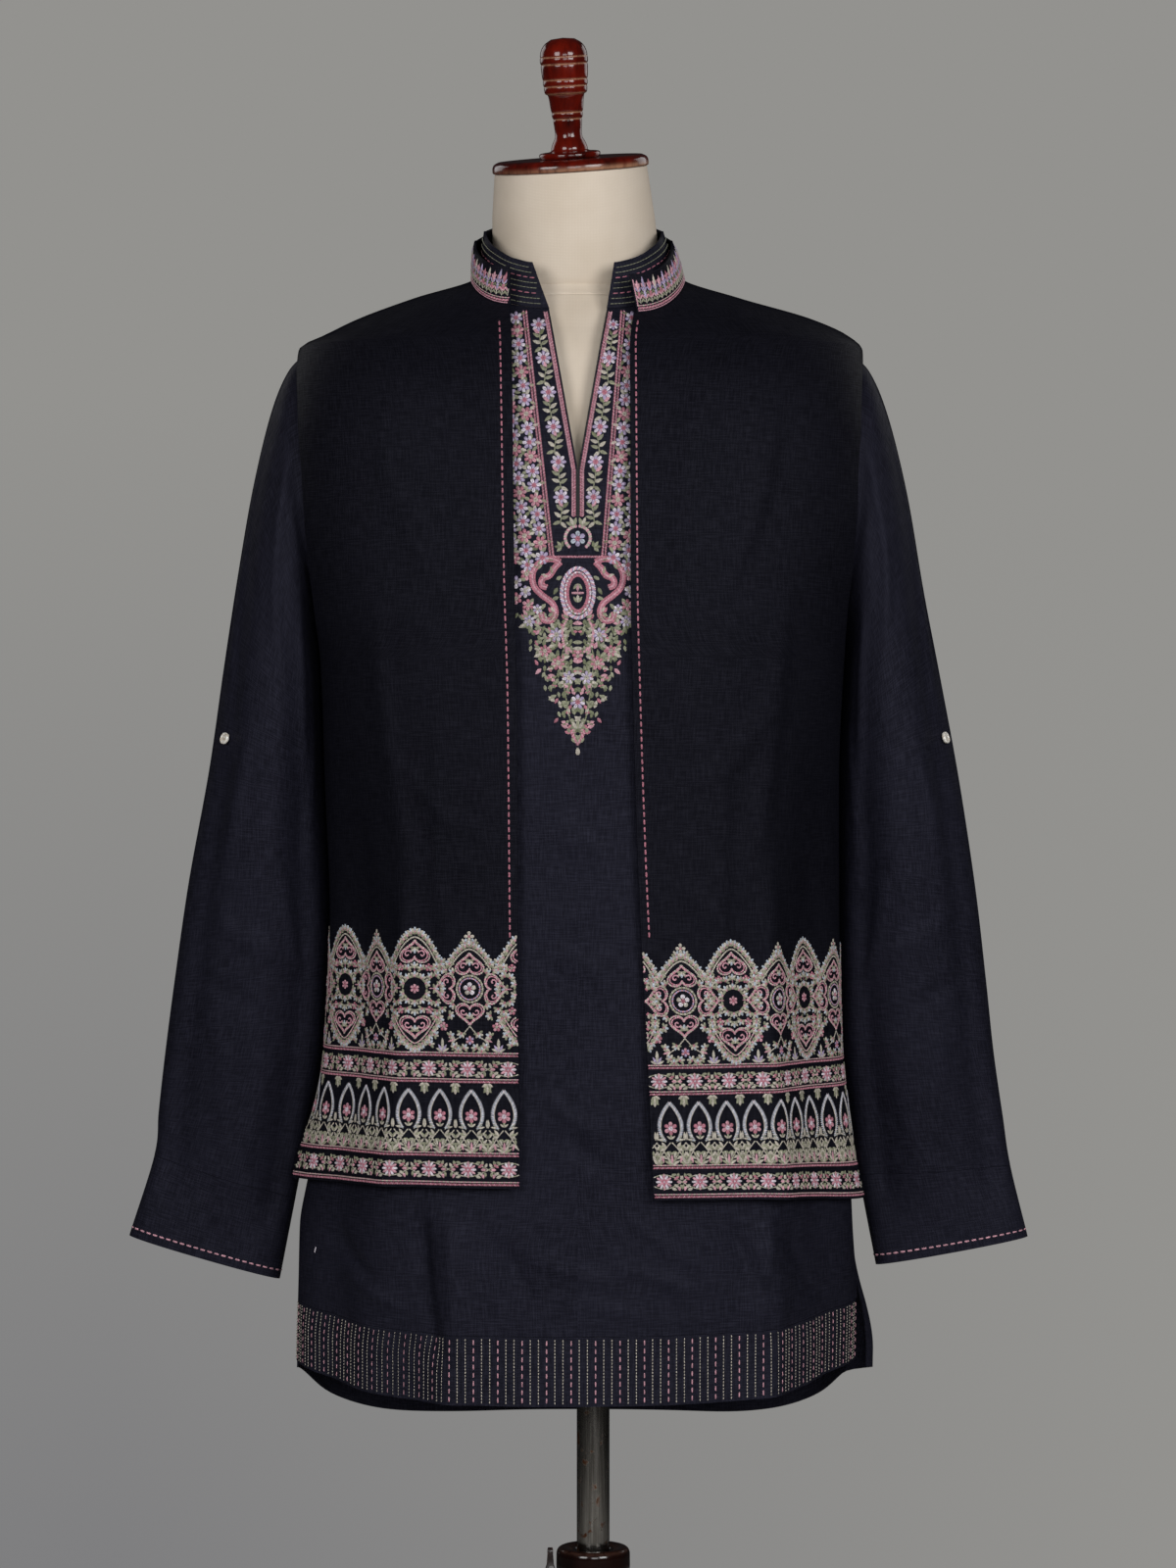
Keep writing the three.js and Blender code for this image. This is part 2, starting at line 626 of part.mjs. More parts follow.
// The sleeve's first ring follows the armhole, one seam's gap inside its edge.
function armholeRing(sign) {
  const cut = KURTA_CUT;
  const middle = (cut.tip + cut.underarm) / 2;
  const half = (cut.tip - cut.underarm) / 2;
  const centre = sectionPoint(cut, sign * QUARTER, middle);
  const steps = 2 * ARM_STEPS;
  return [...Array(steps).keys()].map((k) => {
    const turn = (k / steps) * 2 * Math.PI; // 0 at the shoulder tip, a quarter at the front
    const z = middle + half * Math.cos(turn);
    const most = Math.sin(turn) > 0 ? cut.armFront : cut.armBack;
    const angle = sign * (QUARTER - most * RAD * Math.sin(turn));
    const point = sectionPoint(cut, angle, z);
    const normal = sectionNormal(cut, angle, z);
    const inwards = centre.clone().sub(point);
    inwards.addScaledVector(normal, -inwards.dot(normal)).normalize();
    point.addScaledVector(inwards, ARMHOLE_GAP);
    // Under the arm the cloth turns to run outwards, so its wall stands across the panel's.
    const under = (1 - Math.cos(turn)) / 2;
    normal.multiplyScalar(1 - under).addScaledVector(inwards, -under).normalize();
    return wall(point, normal, KURTA_CLOTH);
  });
}

// A tube of cloth through closed rings, open at both ends.
function tubeSolid(rings) {
  return clothSolid([rings.map((ring) => [...ring, ring[0]])]);
}

function sleeve(sign) {
  const rows = SLEEVES[sideName(sign)];
  return tubeSolid([armholeRing(sign), ...rows.map((row) => sleeveRing(row, sign, true))]);
}

function cuff(sign) {
  const [top, mouth] = CUFFS[sideName(sign)];
  const lowered = { ...top, outerZ: top.outerZ - SEAM_GAP, innerZ: top.innerZ - SEAM_GAP };
  return tubeSolid([sleeveRing(lowered, sign, true), sleeveRing(mouth, sign, false)]);
}

// A shirt button on the outside of a sleeve, with a low dome.
function buttonMesh(sign) {
  const rows = SLEEVES[sideName(sign)].map((row) => ({ ...row, z: (row.outerZ + row.innerZ) / 2 }));
  const row = Object.fromEntries(SLEEVE_ROW.map((name) => [name, at(rows, name, BUTTON.height)]));
  const ring = sleeveRing(row, sign, true);
  const { turn, stand } = BUTTON_SEAT[sideName(sign)];
  const place = (turn / 360) * ring.length;
  const [before, after] = [Math.floor(place), Math.floor(place) + 1];
  const share = place - before;
  const seat = ring[before].outer.clone().lerp(ring[after].outer, share);
  const inner = ring[before].inner.clone().lerp(ring[after].inner, share);
  const normal = seat.clone().sub(inner).normalize();
  const profile = [[0, 0], [0.82, 0], [1, 0.3], [1, 0.62], [0.86, 0.86], [0.6, 0.8], [0, 0.74]];
  const geometry = new THREE.LatheGeometry(
    profile.map(([r, h]) => new THREE.Vector2(r * BUTTON.radius, h * BUTTON.thickness)), 16,
  );
  const mesh = new THREE.Mesh(geometry);
  mesh.quaternion.setFromUnitVectors(new THREE.Vector3(0, 1, 0), normal);
  mesh.position.copy(seat).addScaledVector(normal, stand);
  return mesh;
}

// ---- dress form ---------------------------------------------------------------------------

const FORM_SIDES = 40;

function formRing(row) {
  return [...Array(FORM_SIDES).keys()].map((k) => {
    const angle = (k / FORM_SIDES) * 2 * Math.PI;
    const fore = Math.cos(angle);
    const depth = fore > 0 ? row.front : row.back;
    return new THREE.Vector3(
      row.x + row.half * power(Math.sin(angle), 2 / row.round),
      row.y - depth * power(fore, 2 / row.round),
      row.z,
    );
  });
}

// The slanted plane that the neck cap sits on.
function neckPlane() {
  const turn = new THREE.Euler(NECK_TILT.forward * RAD, NECK_TILT.sideways * RAD, 0);
  return new THREE.Matrix4().makeRotationFromEuler(turn)
    .setPosition(NECK_CAP.x, NECK_CAP.y, NECK_CAP.z);
}

// Torso and neck in one solid, with a blind socket for the pole in its underside.
function formTorso() {
  const plane = neckPlane();
  const circle = (radius, z) => [...Array(FORM_SIDES).keys()].map((k) => {
    const angle = (k / FORM_SIDES) * 2 * Math.PI;
    return new THREE.Vector3(radius * Math.sin(angle), -radius * Math.cos(angle), z);
  });
  const neckTop = circle(NECK_CAP.radius - 1.2, -SEAM_GAP).map((p) => p.applyMatrix4(plane));
  const rings = [
    circle(SOCKET.radius, SOCKET.top),
    circle(SOCKET.radius, FORM[0].z),
    ...FORM.map(formRing),
    neckTop,
  ];
  return loftSolid(rings);
}

// Turned shapes: radius and height pairs about the upright axis.
function turned(profile, sides) {
  const points = profile.map(([r, z]) => new THREE.Vector2(r, z));
  return new THREE.LatheGeometry(points, sides).rotateX(QUARTER);
}

function neckCap() {
  const { radius: r, thickness: t } = NECK_CAP;
  return turned([[0, 0], [r - 1, 0], [r, 1], [r, t - 3.2], [r - 1.2, t - 1], [r - 4.5, t], [0, t]], 40)
    .applyMatrix4(neckPlane());
}

// Radius and height pairs of the turned knob.
const FINIAL = [
  [0, 0], [22.6, 0], [23.7, 1.4], [23.7, 3.4], [22.4, 4.6], [14, 5.2], [14.2, 7.6], [12.6, 12],
  [10.05, 16.6], [10.9, 26], [11.2, 29], [10.7, 29.8], [11.8, 31], [12.1, 34], [11.6, 34.8],
  [12.5, 36], [13.7, 48.4], [15.6, 49], [16.5, 50.2], [16.8, 54], [16.4, 54.8], [17.2, 55.8],
  [17.3, 59], [16.8, 59.8], [17.6, 60.8], [18.3, 70.6], [17.7, 71.6], [18.5, 72.6], [18.6, 76],
  [18.1, 77], [18.4, 78.4], [17.2, 83.4], [14.2, 87.6], [9, 90.6], [0, 91.5],
];

function finial() {
  const plane = neckPlane();
  return turned(FINIAL, 24).translate(0, 0, NECK_CAP.thickness + SEAM_GAP).applyMatrix4(plane);
}

// ---- stand --------------------------------------------------------------------------------

function standBase() {
  const { radius: r, height: h, edge: e } = BASE;
  return turned([[0, 0], [r - 2, 0], [r, 2], [r, h - e], [r - 1.5, h - 1.6], [r - e, h], [0, h]], 64);
}

function standColumn() {
  const { radius: r, bore, boreFloor, top, foot, footHeight } = COLUMN;
  const floor = BASE.height + SEAM_GAP;
  return turned([
    [0, floor], [foot, floor], [foot, floor + footHeight - 4], [foot - 4, floor + footHeight],
    [r + 6, floor + footHeight + 6], [r, floor + footHeight + 20], [r, top - 5], [r - 1.5, top - 1.4],
    [r - 5, top], [bore + 5, top - 1], [bore, top - 4], [bore, boreFloor], [0, boreFloor],
  ], 40);
}

function standPole() {
  const { radius: r, bottom, top } = POLE;
  return turned([[0, bottom], [r - 1, bottom], [r, bottom + 1], [r, top - 1], [r - 1, top], [0, top]], 32);
}

// The clamp lever: a hub on its screw's axis and a wing that stands up beside the column.
function standLever() {
  const { hubRadius, hubLength, reach, wing } = LEVER;
  const outline = new THREE.Shape();
  outline.absarc(0, 0, hubRadius, Math.PI + 0.5, 2 * Math.PI - 0.5, false);
  outline.lineTo(wing, reach - 3);
  outline.absarc(0, reach - 3, wing, 0, Math.PI, false);
  outline.closePath();
  const geometry = new THREE.ExtrudeGeometry(outline, {
    depth: hubLength, bevelEnabled: false, curveSegments: 8,
  });
  // Its thickness runs along X, outwards from the column.
  geometry.rotateX(QUARTER).rotateZ(QUARTER);
  const box = new THREE.Box3().setFromBufferAttribute(geometry.getAttribute('position'));
  return geometry.translate(-COLUMN.radius - LEVER.clearance - box.max.x, 0, LEVER.height);
}

// ---- the object ---------------------------------------------------------------------------

const FINISHES = {
  kurtaLinen: { color: 0x1c1d2b, roughness: 0.9, metalness: 0 },
  waistcoatLinen: { color: 0x15161f, roughness: 0.88, metalness: 0 },
  canvas: { color: 0xcdc2b0, roughness: 0.85, metalness: 0 },
  lacqueredWood: { color: 0x5a1a10, roughness: 0.25, metalness: 0 },
  steel: { color: 0x9a9a98, roughness: 0.3, metalness: 1 },
  enamelledIron: { color: 0x2a1412, roughness: 0.4, metalness: 0.2 },
  pearl: { color: 0xd8d6d0, roughness: 0.3, metalness: 0.4 },
};
const materials = Object.fromEntries(
  Object.entries(FINISHES).map(([name, look]) => [name, new THREE.MeshStandardMaterial(look)]),
);

const object = new THREE.Group();

function add(name, finish, piece) {
  const mesh = piece.isMesh ? piece : new THREE.Mesh(piece);
  mesh.name = name;
  mesh.material = materials[finish];
  object.add(mesh);
}

add('kurta_front', 'kurtaLinen', kurtaFront());
add('kurta_hem_band', 'kurtaLinen', kurtaHemBand());
add('kurta_back', 'kurtaLinen', kurtaBack());
add('kurta_collar', 'kurtaLinen', collar(KURTA_CUT, KURTA_COLLAR));
for (const sign of [-1, 1]) {
  add(`kurta_sleeve_${sideName(sign)}`, 'kurtaLinen', sleeve(sign));
  add(`kurta_cuff_${sideName(sign)}`, 'kurtaLinen', cuff(sign));
  add(`button_${sideName(sign)}`, 'pearl', buttonMesh(sign));
  add(`waistcoat_front_${sideName(sign)}`, 'waistcoatLinen', waistcoatFront(sign));
}
add('waistcoat_back', 'waistcoatLinen', waistcoatBack());
add('waistcoat_collar', 'waistcoatLinen', collar(WAISTCOAT_CUT, WAISTCOAT_COLLAR));
add('form_torso', 'canvas', formTorso());
add('form_neck_cap', 'lacqueredWood', neckCap());
add('form_finial', 'lacqueredWood', finial());
add('stand_pole', 'steel', standPole());
add('stand_column', 'lacqueredWood', standColumn());
add('stand_lever', 'lacqueredWood', standLever());
add('stand_base', 'enamelledIron', standBase());

export default object;
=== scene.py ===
"""A short kurta and an open, embroidered waistcoat on a limbless dress form and its stand."""

import logging
import math
from collections.abc import Callable, Sequence
from dataclasses import dataclass, field
from enum import Enum
from functools import cache

import bpy
import numpy as np
from mathutils import Euler, Matrix, Vector


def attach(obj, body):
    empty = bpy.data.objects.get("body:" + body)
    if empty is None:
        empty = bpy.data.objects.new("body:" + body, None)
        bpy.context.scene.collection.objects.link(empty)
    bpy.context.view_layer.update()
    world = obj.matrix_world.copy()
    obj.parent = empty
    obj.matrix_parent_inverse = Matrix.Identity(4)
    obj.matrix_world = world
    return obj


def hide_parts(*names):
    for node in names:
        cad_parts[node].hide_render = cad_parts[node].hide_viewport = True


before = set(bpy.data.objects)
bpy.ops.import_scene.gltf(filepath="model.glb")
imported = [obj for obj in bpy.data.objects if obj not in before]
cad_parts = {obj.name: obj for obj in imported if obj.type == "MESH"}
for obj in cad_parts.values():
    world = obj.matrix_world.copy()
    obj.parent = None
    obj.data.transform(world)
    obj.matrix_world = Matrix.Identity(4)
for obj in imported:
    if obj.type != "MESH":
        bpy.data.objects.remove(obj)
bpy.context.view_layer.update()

LOG = logging.getLogger("waistcoat_set")
MM = 0.001
QUARTER = math.pi / 2
CENTRE_X = -11.6  # the garments hang this far to the left of the pole's axis, in mm
SEAM_GAP = 0.3  # between two pieces sewn together, in mm
ARMHOLE_GAP = 0.6

Points = np.ndarray
Line = Sequence[tuple[float, float]]


class Hand(Enum):
    """The viewer's side that a piece lies on."""

    LEFT = -1
    RIGHT = 1


class Body(Enum):
    """The bodies that pieces move with."""

    STAND = "stand"
    LEVER = "lever"
    POLE = "pole"
    FORM = "form"


# ---- curves and tables ----------------------------------------------------------------------


def smooth(t: Points) -> Points:
    """Ease from 0 to 1."""
    c = np.clip(t, 0.0, 1.0)
    return c * c * (3 - 2 * c)


def power(value: Points, exponent: Points) -> Points:
    """Raise to a power and keep the sign."""
    return np.sign(value) * np.abs(value) ** exponent


def unit(vectors: Points) -> Points:
    """Scale vectors to length 1."""
    return vectors / np.maximum(np.linalg.norm(vectors, axis=-1, keepdims=True), 1e-9)


class Rows:
    """A table of named columns over its first one, read by a monotone cubic."""

    def __init__(self, names: str, rows: Sequence[Sequence[float]]) -> None:
        """Sort the rows and work out the slopes.

        Args:
            names: the columns' names, separated by spaces, the first one is what it is read by.
            rows: the values.
        """
        data = np.array(sorted(rows), float)
        self.key = data[:, 0]
        self.columns = dict(zip(names.split(), data.T))
        self.slopes = {name: self._slopes(column) for name, column in self.columns.items()}

    def _slopes(self, column: Points) -> Points:
        """Give the harmonic mean of the rates on both sides of each row."""
        rate = np.diff(column) / np.diff(self.key)
        before, after = rate[:-1], rate[1:]
        level = before * after <= 0
        total = np.where(level, 1.0, before + after)
        middle = np.where(level, 0.0, 2 * before * after / total)
        return np.concatenate([rate[:1], middle, rate[-1:]])

    def at(self, name: str, key: Points) -> Points:
        """Read a column.

        Args:
            name: the column.
            key: where, one value or an array.

        Returns:
            The column's values there.
        """
        x = np.clip(np.asarray(key, float), self.key[0], self.key[-1])
        i = np.clip(np.searchsorted(self.key, x, side="right") - 1, 0, len(self.key) - 2)
        span = self.key[i + 1] - self.key[i]
        t = (x - self.key[i]) / span
        column, slope = self.columns[name], self.slopes[name]
        rise = (2 * t**3 - 3 * t**2 + 1) * column[i] + (3 * t**2 - 2 * t**3) * column[i + 1]
        turn = (t**3 - 2 * t**2 + t) * slope[i] + (t**3 - t**2) * slope[i + 1]
        return rise + span * turn


@dataclass(frozen=True)
class Fold:
    """A soft fold that runs down the cloth. Angles are in degrees round the body."""

    angle: float
    width: float
    depth: float
    top: float
    bottom: float

    def relief(self, degrees: Points, z: Points) -> Points:
        """How far it moves the cloth outwards, in mm."""
        off = (degrees - self.angle + 540) % 360 - 180
        fade = smooth((self.top - z) / (0.55 * (self.top - self.bottom)))
        return self.depth * fade * np.exp(-((off / self.width) ** 2))


@dataclass(frozen=True)
class Crease:
    """A wrinkle or a pressed line: a bowed line between two places, steeper on one side."""

    start: tuple[float, float]
    end: tuple[float, float]
    width: float
    depth: float
    bow: float = 0.0
    back: bool = False

    def relief(self, across: Points, z: Points) -> Points:
        """How far it moves the cloth outwards.

        Args:
            across: the place across the cloth, in mm.
            z: the height, in mm.

        Returns:
            The move, in mm.
        """
        run, rise = self.end[0] - self.start[0], self.end[1] - self.start[1]
        length = math.hypot(run, rise)
        x, y = across - self.start[0], z - self.start[1]
        t = (x * run + y * rise) / length**2
        off = (x * rise - y * run) / length - self.bow * 4 * t * (1 - t)
        width = np.where(off > 0, self.width, 0.55 * self.width)
        ends = smooth(t / 0.3) * smooth((1 - t) / 0.3)
        return self.depth * ends * np.exp(-((off / width) ** 2))


def folds(*rows: tuple[float, float, float, float, float]) -> tuple[Fold, ...]:
    """Make folds from rows of angle, width, depth, top and bottom."""
    return tuple(Fold(*row) for row in rows)


# ---- the body's shape and how the panels are cut ---------------------------------------------

SECTION = "z left right front back round"

KURTA_SECTIONS = Rows(SECTION, [
    (1506, 66, 66, 52, 67, 2.0), (1487.2, 76.5, 76.5, 60, 75, 1.95),
    (1474, 122.5, 125, 66, 84, 1.85), (1460, 166, 171.3, 76, 92, 1.9),
    (1446, 194, 199, 88, 99, 2.0), (1436, 211, 211, 95, 103, 2.1),
    (1400, 208, 208, 107, 110, 2.35), (1340, 203, 204, 119, 116, 2.5),
    (1270, 197, 200, 124, 117, 2.5), (1200, 192, 196, 125, 114, 2.4),
    (1080, 188, 194, 122, 110, 2.3), (960, 186, 195, 119, 107, 2.3),
    (870, 192, 199, 117, 106, 2.25), (790, 211, 211.5, 116, 108, 2.2),
    (760, 216, 213, 116.5, 109, 2.2), (720, 217, 215, 117, 110, 2.2), (640, 219, 213, 118, 112, 2.2),
    (590, 220, 216, 118, 114, 2.2),
])
WAISTCOAT_SECTIONS = Rows(SECTION, [
    (1513, 70, 70, 60, 74, 2.0), (1491, 82.5, 82.5, 68, 84, 1.95),
    (1476, 130, 128, 76, 92, 1.85), (1460, 173, 183, 86, 101, 1.9),
    (1448, 197, 209, 95.5, 106, 2.0), (1438, 216, 220, 103, 111, 2.1),
    (1402, 223.7, 226, 118, 119, 2.4), (1363, 226.4, 229, 125, 124, 2.6),
    (1316, 225, 229, 131, 125, 2.6), (1270, 218.4, 223, 133, 125, 2.6),
    (1230, 208.3, 213, 133.5, 124, 2.6), (1195, 199.5, 206, 133, 122, 2.5),
    (1100, 196, 202, 130, 118, 2.35), (1000, 192.5, 202.5, 127, 115, 2.3),
    (911, 196, 204, 125, 114, 2.25), (873, 200, 207, 125, 114.5, 2.25),
    (830, 211, 213, 125, 116, 2.2), (780, 224, 223, 126, 118, 2.2),
])

KURTA_FOLDS = folds(
    (-23.5, 5, 6.0, 800, 690), (-33, 6, -2.5, 790, 690), (41, 5, 6.5, 800, 690),
    (-62, 14, -11.5, 1230, 780), (63, 14, -11.5, 1230, 780),
    (-70, 8, 3.0, 770, 590), (-38, 9, -3.5, 760, 590), (-8, 10, 2.5, 740, 590),
    (26, 9, -3.0, 770, 590), (58, 8, 3.2, 760, 590), (95, 4.5, 18, 745, 590),
    (120, 9, 3.0, 740, 590), (148, 9, -3.5, 740, 590), (-120, 10, 4.0, 740, 590),
    (-158, 9, -3.0, 740, 590),
)
WAISTCOAT_FOLDS = folds(
    (-86, 5, 4.0, 850, 780), (-62, 13, -11, 1200, 780), (-39, 4.5, 6.0, 1120, 780),
    (-22, 8, 1.2, 1250, 780), (42.5, 4.5, 6.0, 1120, 780), (63, 13, -11, 1200, 780),
    (24, 8, 1.2, 1250, 770), (118, 9, 3.0, 1150, 780), (158, 9, 2.6, 1100, 780),
    (-140, 10, 3.2, 1180, 780),
)

# Creases of the skirt: places are mm from the centre line, and heights.
KURTA_CREASES = (
    Crease((-118, 800), (-98, 655), 9, -4.8, 5), Crease((-96, 790), (-88, 660), 6, 2.7, -2),
    Crease((-60, 706), (70, 711), 1.6, 0.83, 2), Crease((-40, 698), (128, 699), 1.4, 0.75, -1),
    Crease((-46, 758), (32, 730), 7, 2.4, 6), Crease((20, 742), (96, 716), 6, 2.25, -4),
    Crease((34, 786), (98, 738), 7, 2.1, 5), Crease((-12, 716), (60, 700), 5, 1.5, -3),
    Crease((-198, 770), (-150, 724), 8, -3, 4), Crease((-190, 742), (-128, 706), 7, 2.4, 4),
    Crease((-70, 770), (-30, 700), 9, -2.25, -6), Crease((110, 780), (140, 700), 8, -3, -4),
    Crease((146, 784), (134, 660), 6, 3.3, 3), Crease((160, 770), (196, 706), 8, -2.7, 4),
    Crease((-30, 880), (24, 836), 8, 2.1, 5), Crease((-24, 980), (30, 950), 9, 1.8, -4),
    Crease((-20, 1080), (26, 1048), 9, 1.65, 5), Crease((-14, 844), (34, 812), 8, -1.95, 3),
    Crease((-120, 800), (-96, 650), 9, -3.9, 5, True), Crease((60, 760), (-40, 706), 8, 2.4, 6, True),
    Crease((-60, 700), (90, 694), 1.6, 0.75, 2, True), Crease((130, 780), (150, 660), 7, 3, 3, True),
    Crease((10, 690), (40, 612), 8, -2.7, 4, True), Crease((-176, 740), (-120, 680), 8, 2.7, 4, True),
)
# The waistcoat's only move outwards, because the kurta lies close behind.
WAISTCOAT_CREASES = (
    Crease((-150, 1390), (-96, 1240), 12, 2.2, 8), Crease((-90, 1420), (-70, 1180), 10, 1.5, -6),
    Crease((-140, 1130), (-70, 1060), 10, 1.5, 8), Crease((-66, 1010), (-126, 960), 9, 1.2, -6),
    Crease((-152, 1250), (-120, 1020), 10, 2.4, 5), Crease((-104, 1180), (-96, 930), 7, 1.2, 3),
    Crease((150, 1400), (104, 1230), 12, 2.4, -8), Crease((92, 1420), (76, 1190), 10, 1.5, 6),
    Crease((148, 1170), (86, 1090), 10, 1.6, -8), Crease((72, 1040), (132, 980), 9, 1.2, 6),
    Crease((156, 1260), (128, 1010), 10, 2.4, -5), Crease((108, 1150), (104, 920), 7, 1.3, -3),
    Crease((-120, 1400), (-70, 1240), 12, 1.8, 8, True), Crease((120, 1400), (60, 1230), 12, 1.8, -8, True),
    Crease((-90, 1160), (40, 1110), 9, 1.4, 8, True), Crease((96, 1080), (-10, 1030), 9, 1.2, -8, True),
    Crease((-10, 1300), (4, 900), 10, 1.6, 6, True), Crease((130, 1010), (70, 940), 9, 1.3, 5, True),
)


@dataclass(frozen=True)
class BodyShape:
    """The surface that a garment's panels lie on, outside of the cloth."""

    sections: Rows
    folds: tuple[Fold, ...]
    creases: tuple[Crease, ...]
    neck_top: float

    def point(self, angle: Points, z: Points) -> Points:
        """Give points of the surface.

        Args:
            angle: radians round the body from the front, positive to the viewer's right.
            z: heights in mm.

        Returns:
            An array with x, y and z last, in mm.
        """
        angle, z = np.broadcast_arrays(np.asarray(angle, float), np.asarray(z, float))
        side, fore = np.sin(angle), np.cos(angle)
        read = self.sections.at
        half = np.where(side < 0, read("left", z), read("right", z))
        depth = np.where(fore > 0, read("front", z), read("back", z))
        exponent = 2 / read("round", z)
        across = half * power(side, exponent)
        out = sum(fold.relief(np.degrees(angle), z) for fold in self.folds)
        for crease in self.creases:
            facing = smooth(np.abs(fore) / 0.25) * ((fore < 0) == crease.back)
            out = out + crease.relief(across, z) * facing
        x = CENTRE_X + across + out * side
        y = -depth * power(fore, exponent) - out * fore
        return np.stack([x, y, z], -1)

    def normal(self, angle: Points, z: Points) -> Points:
        """The outward normals there. The shoulder seam's crease at the neck isn't looked past."""
        turn, rise = 0.02, 1.5
        top = np.minimum(z + rise, np.maximum(z, self.neck_top))
        round_ = self.point(angle + turn, z) - self.point(angle - turn, z)
        up = self.point(angle, top) - self.point(angle, z - rise)
        return unit(np.cross(round_, up))


@dataclass(frozen=True)
class Hem:
    """A hem's height at the middle of a piece and at its side corners, and how late it curves."""

    middle: float
    side: float
    curve: float = 4.0

    def height(self, angle: Points) -> Points:
        """The hem's height at an angle."""
        return self.middle + (self.side - self.middle) * np.abs(np.sin(angle)) ** self.curve


@dataclass(frozen=True)
class Vent:
    """A side vent: where it starts, and how far each edge stands back, in degrees."""

    top: float
    open: float

    def turn(self, z: Points) -> Points:
        """How far an edge stands back from the side seam at a height, in radians."""
        return math.radians(self.open) * smooth((self.top - z) / 60)


@dataclass(frozen=True)
class Cut:
    """Where a garment's neckline, shoulder seams and armholes run."""

    shape: BodyShape
    cloth: float
    neck_side: float
    neck_top: float
    neck_front_half: dict[Hand, float]
    neck_front: dict[Hand, float]
    neck_back: float
    tip: float
    underarm: float
    arm_front: float = 25.0
    arm_back: float = 24.0

    def angle_of(self, z: Points, distance: Points, hand: Hand) -> Points:
        """Find the angle of a place on the front.

        Args:
            z: its height.
            distance: how far it is from the centre line, in mm.
            hand: its side.

        Returns:
            The angle without its sign.
        """
        half = self.shape.sections.at(hand.name.lower(), z)
        share = np.clip(np.abs(distance) / half, 0, 1)
        return np.arcsin(share ** (self.shape.sections.at("round", z) / 2))

    def neck_half(self, z: Points, hand: Hand) -> Points:
        """How far the front neckline is from the centre line at a height."""
        start, front = self.neck_front_half[hand], self.neck_front[hand]
        drop = np.clip((self.neck_top - z) / (self.neck_top - front), 0, 1)
        return start + (self.neck_side - start) * np.sqrt(1 - drop**2)

    def armhole_turn(self, z: Points, most: float) -> Points:
        """The angle between the armhole's edge and the side at a height."""
        middle, half = (self.tip + self.underarm) / 2, (self.tip - self.underarm) / 2
        off = np.clip(np.abs(z - middle) / half, 0, 1)
        return math.radians(most) * np.sqrt(1 - off**2)

    def top_rows(self, hand: Hand | None) -> Points:
        """Heights of a panel's rows from its neck to its underarm, for a front or, with None, the back."""
        if hand is None:
            turns = np.radians(np.linspace(90, 0, 26))
            neck = self.neck_top + (self.neck_back - self.neck_top) * np.sin(turns)
            front = sum(self.neck_front.values()) / 2
            below = np.linspace(self.neck_top, front, 9)[1:]
        else:
            front = self.neck_front[hand]
            turns = np.radians(np.linspace(0, 90, 26))
            neck = self.neck_top - (self.neck_top - front) * np.sin(turns)
            below = np.empty(0)
        middle, half = (self.tip + self.underarm) / 2, (self.tip - self.underarm) / 2
        arm = middle + half * np.cos(np.linspace(0, math.pi, 45))
        return np.concatenate([neck, below, np.linspace(front, self.tip, 7)[1:-1], arm])

    def hang(self, rows: Points, start: float, hem: Hem, angles: Points) -> Points:
        """Carry the rows below a height on down to the hem.

        Args:
            rows: heights down to where the hem's shape starts.
            start: that height.
            hem: the hem.
            angles: the angles of each row, with one more row for each row of the hem.

        Returns:
            Heights with the shape of angles.
        """
        extra = len(angles) - len(rows)
        flat = np.broadcast_to(rows[:, None], (len(rows), angles.shape[1]))
        share = np.linspace(0, 1, extra + 1)[1:, None]
        lower = start + (hem.height(angles[len(rows):]) - start) * share
        return np.concatenate([flat, lower])


KURTA_SHAPE = BodyShape(KURTA_SECTIONS, KURTA_FOLDS, KURTA_CREASES, 1487.2)
WAISTCOAT_SHAPE = BodyShape(WAISTCOAT_SECTIONS, WAISTCOAT_FOLDS, WAISTCOAT_CREASES, 1491)
KURTA_CUT = Cut(
    KURTA_SHAPE, cloth=1.2, neck_side=76.5, neck_top=1487.2,
    neck_front_half={Hand.LEFT: 22, Hand.RIGHT: 22}, neck_front={Hand.LEFT: 1461, Hand.RIGHT: 1461},
    neck_back=1505, tip=1436, underarm=1240,
)
WAISTCOAT_CUT = Cut(
    WAISTCOAT_SHAPE, cloth=1.8, neck_side=82.5, neck_top=1491,
    neck_front_half={Hand.LEFT: 51, Hand.RIGHT: 45}, neck_front={Hand.LEFT: 1463, Hand.RIGHT: 1456},
    neck_back=1512, tip=1438, underarm=1195,
)
KURTA_VENT = Vent(745, 2.2)
WAISTCOAT_VENT = Vent(878, 5.5)


# ---- meshes ---------------------------------------------------------------------------------


def mesh_piece(name: str, points: Points, faces: list[tuple[int, ...]]) -> bpy.types.Object:
    """Make an object from points in mm.

    Args:
        name: the object's name.
        points: its vertices, in mm.
        faces: vertex numbers.

    Returns:
        The new object, linked to the scene.
    """
    mesh = bpy.data.meshes.new(name)
    mesh.from_pydata((np.asarray(points) * MM).tolist(), [], faces)
    mesh.validate()
    piece = bpy.data.objects.new(name, mesh)
    bpy.context.scene.collection.objects.link(piece)
    return piece


def deselect() -> None:
    """Leave no object selected."""
    for other in bpy.context.selected_objects:
        other.select_set(False)


def select_only(piece: bpy.types.Object) -> None:
    """Leave one object selected and active."""
    deselect()
    piece.select_set(True)
    bpy.context.view_layer.objects.active = piece


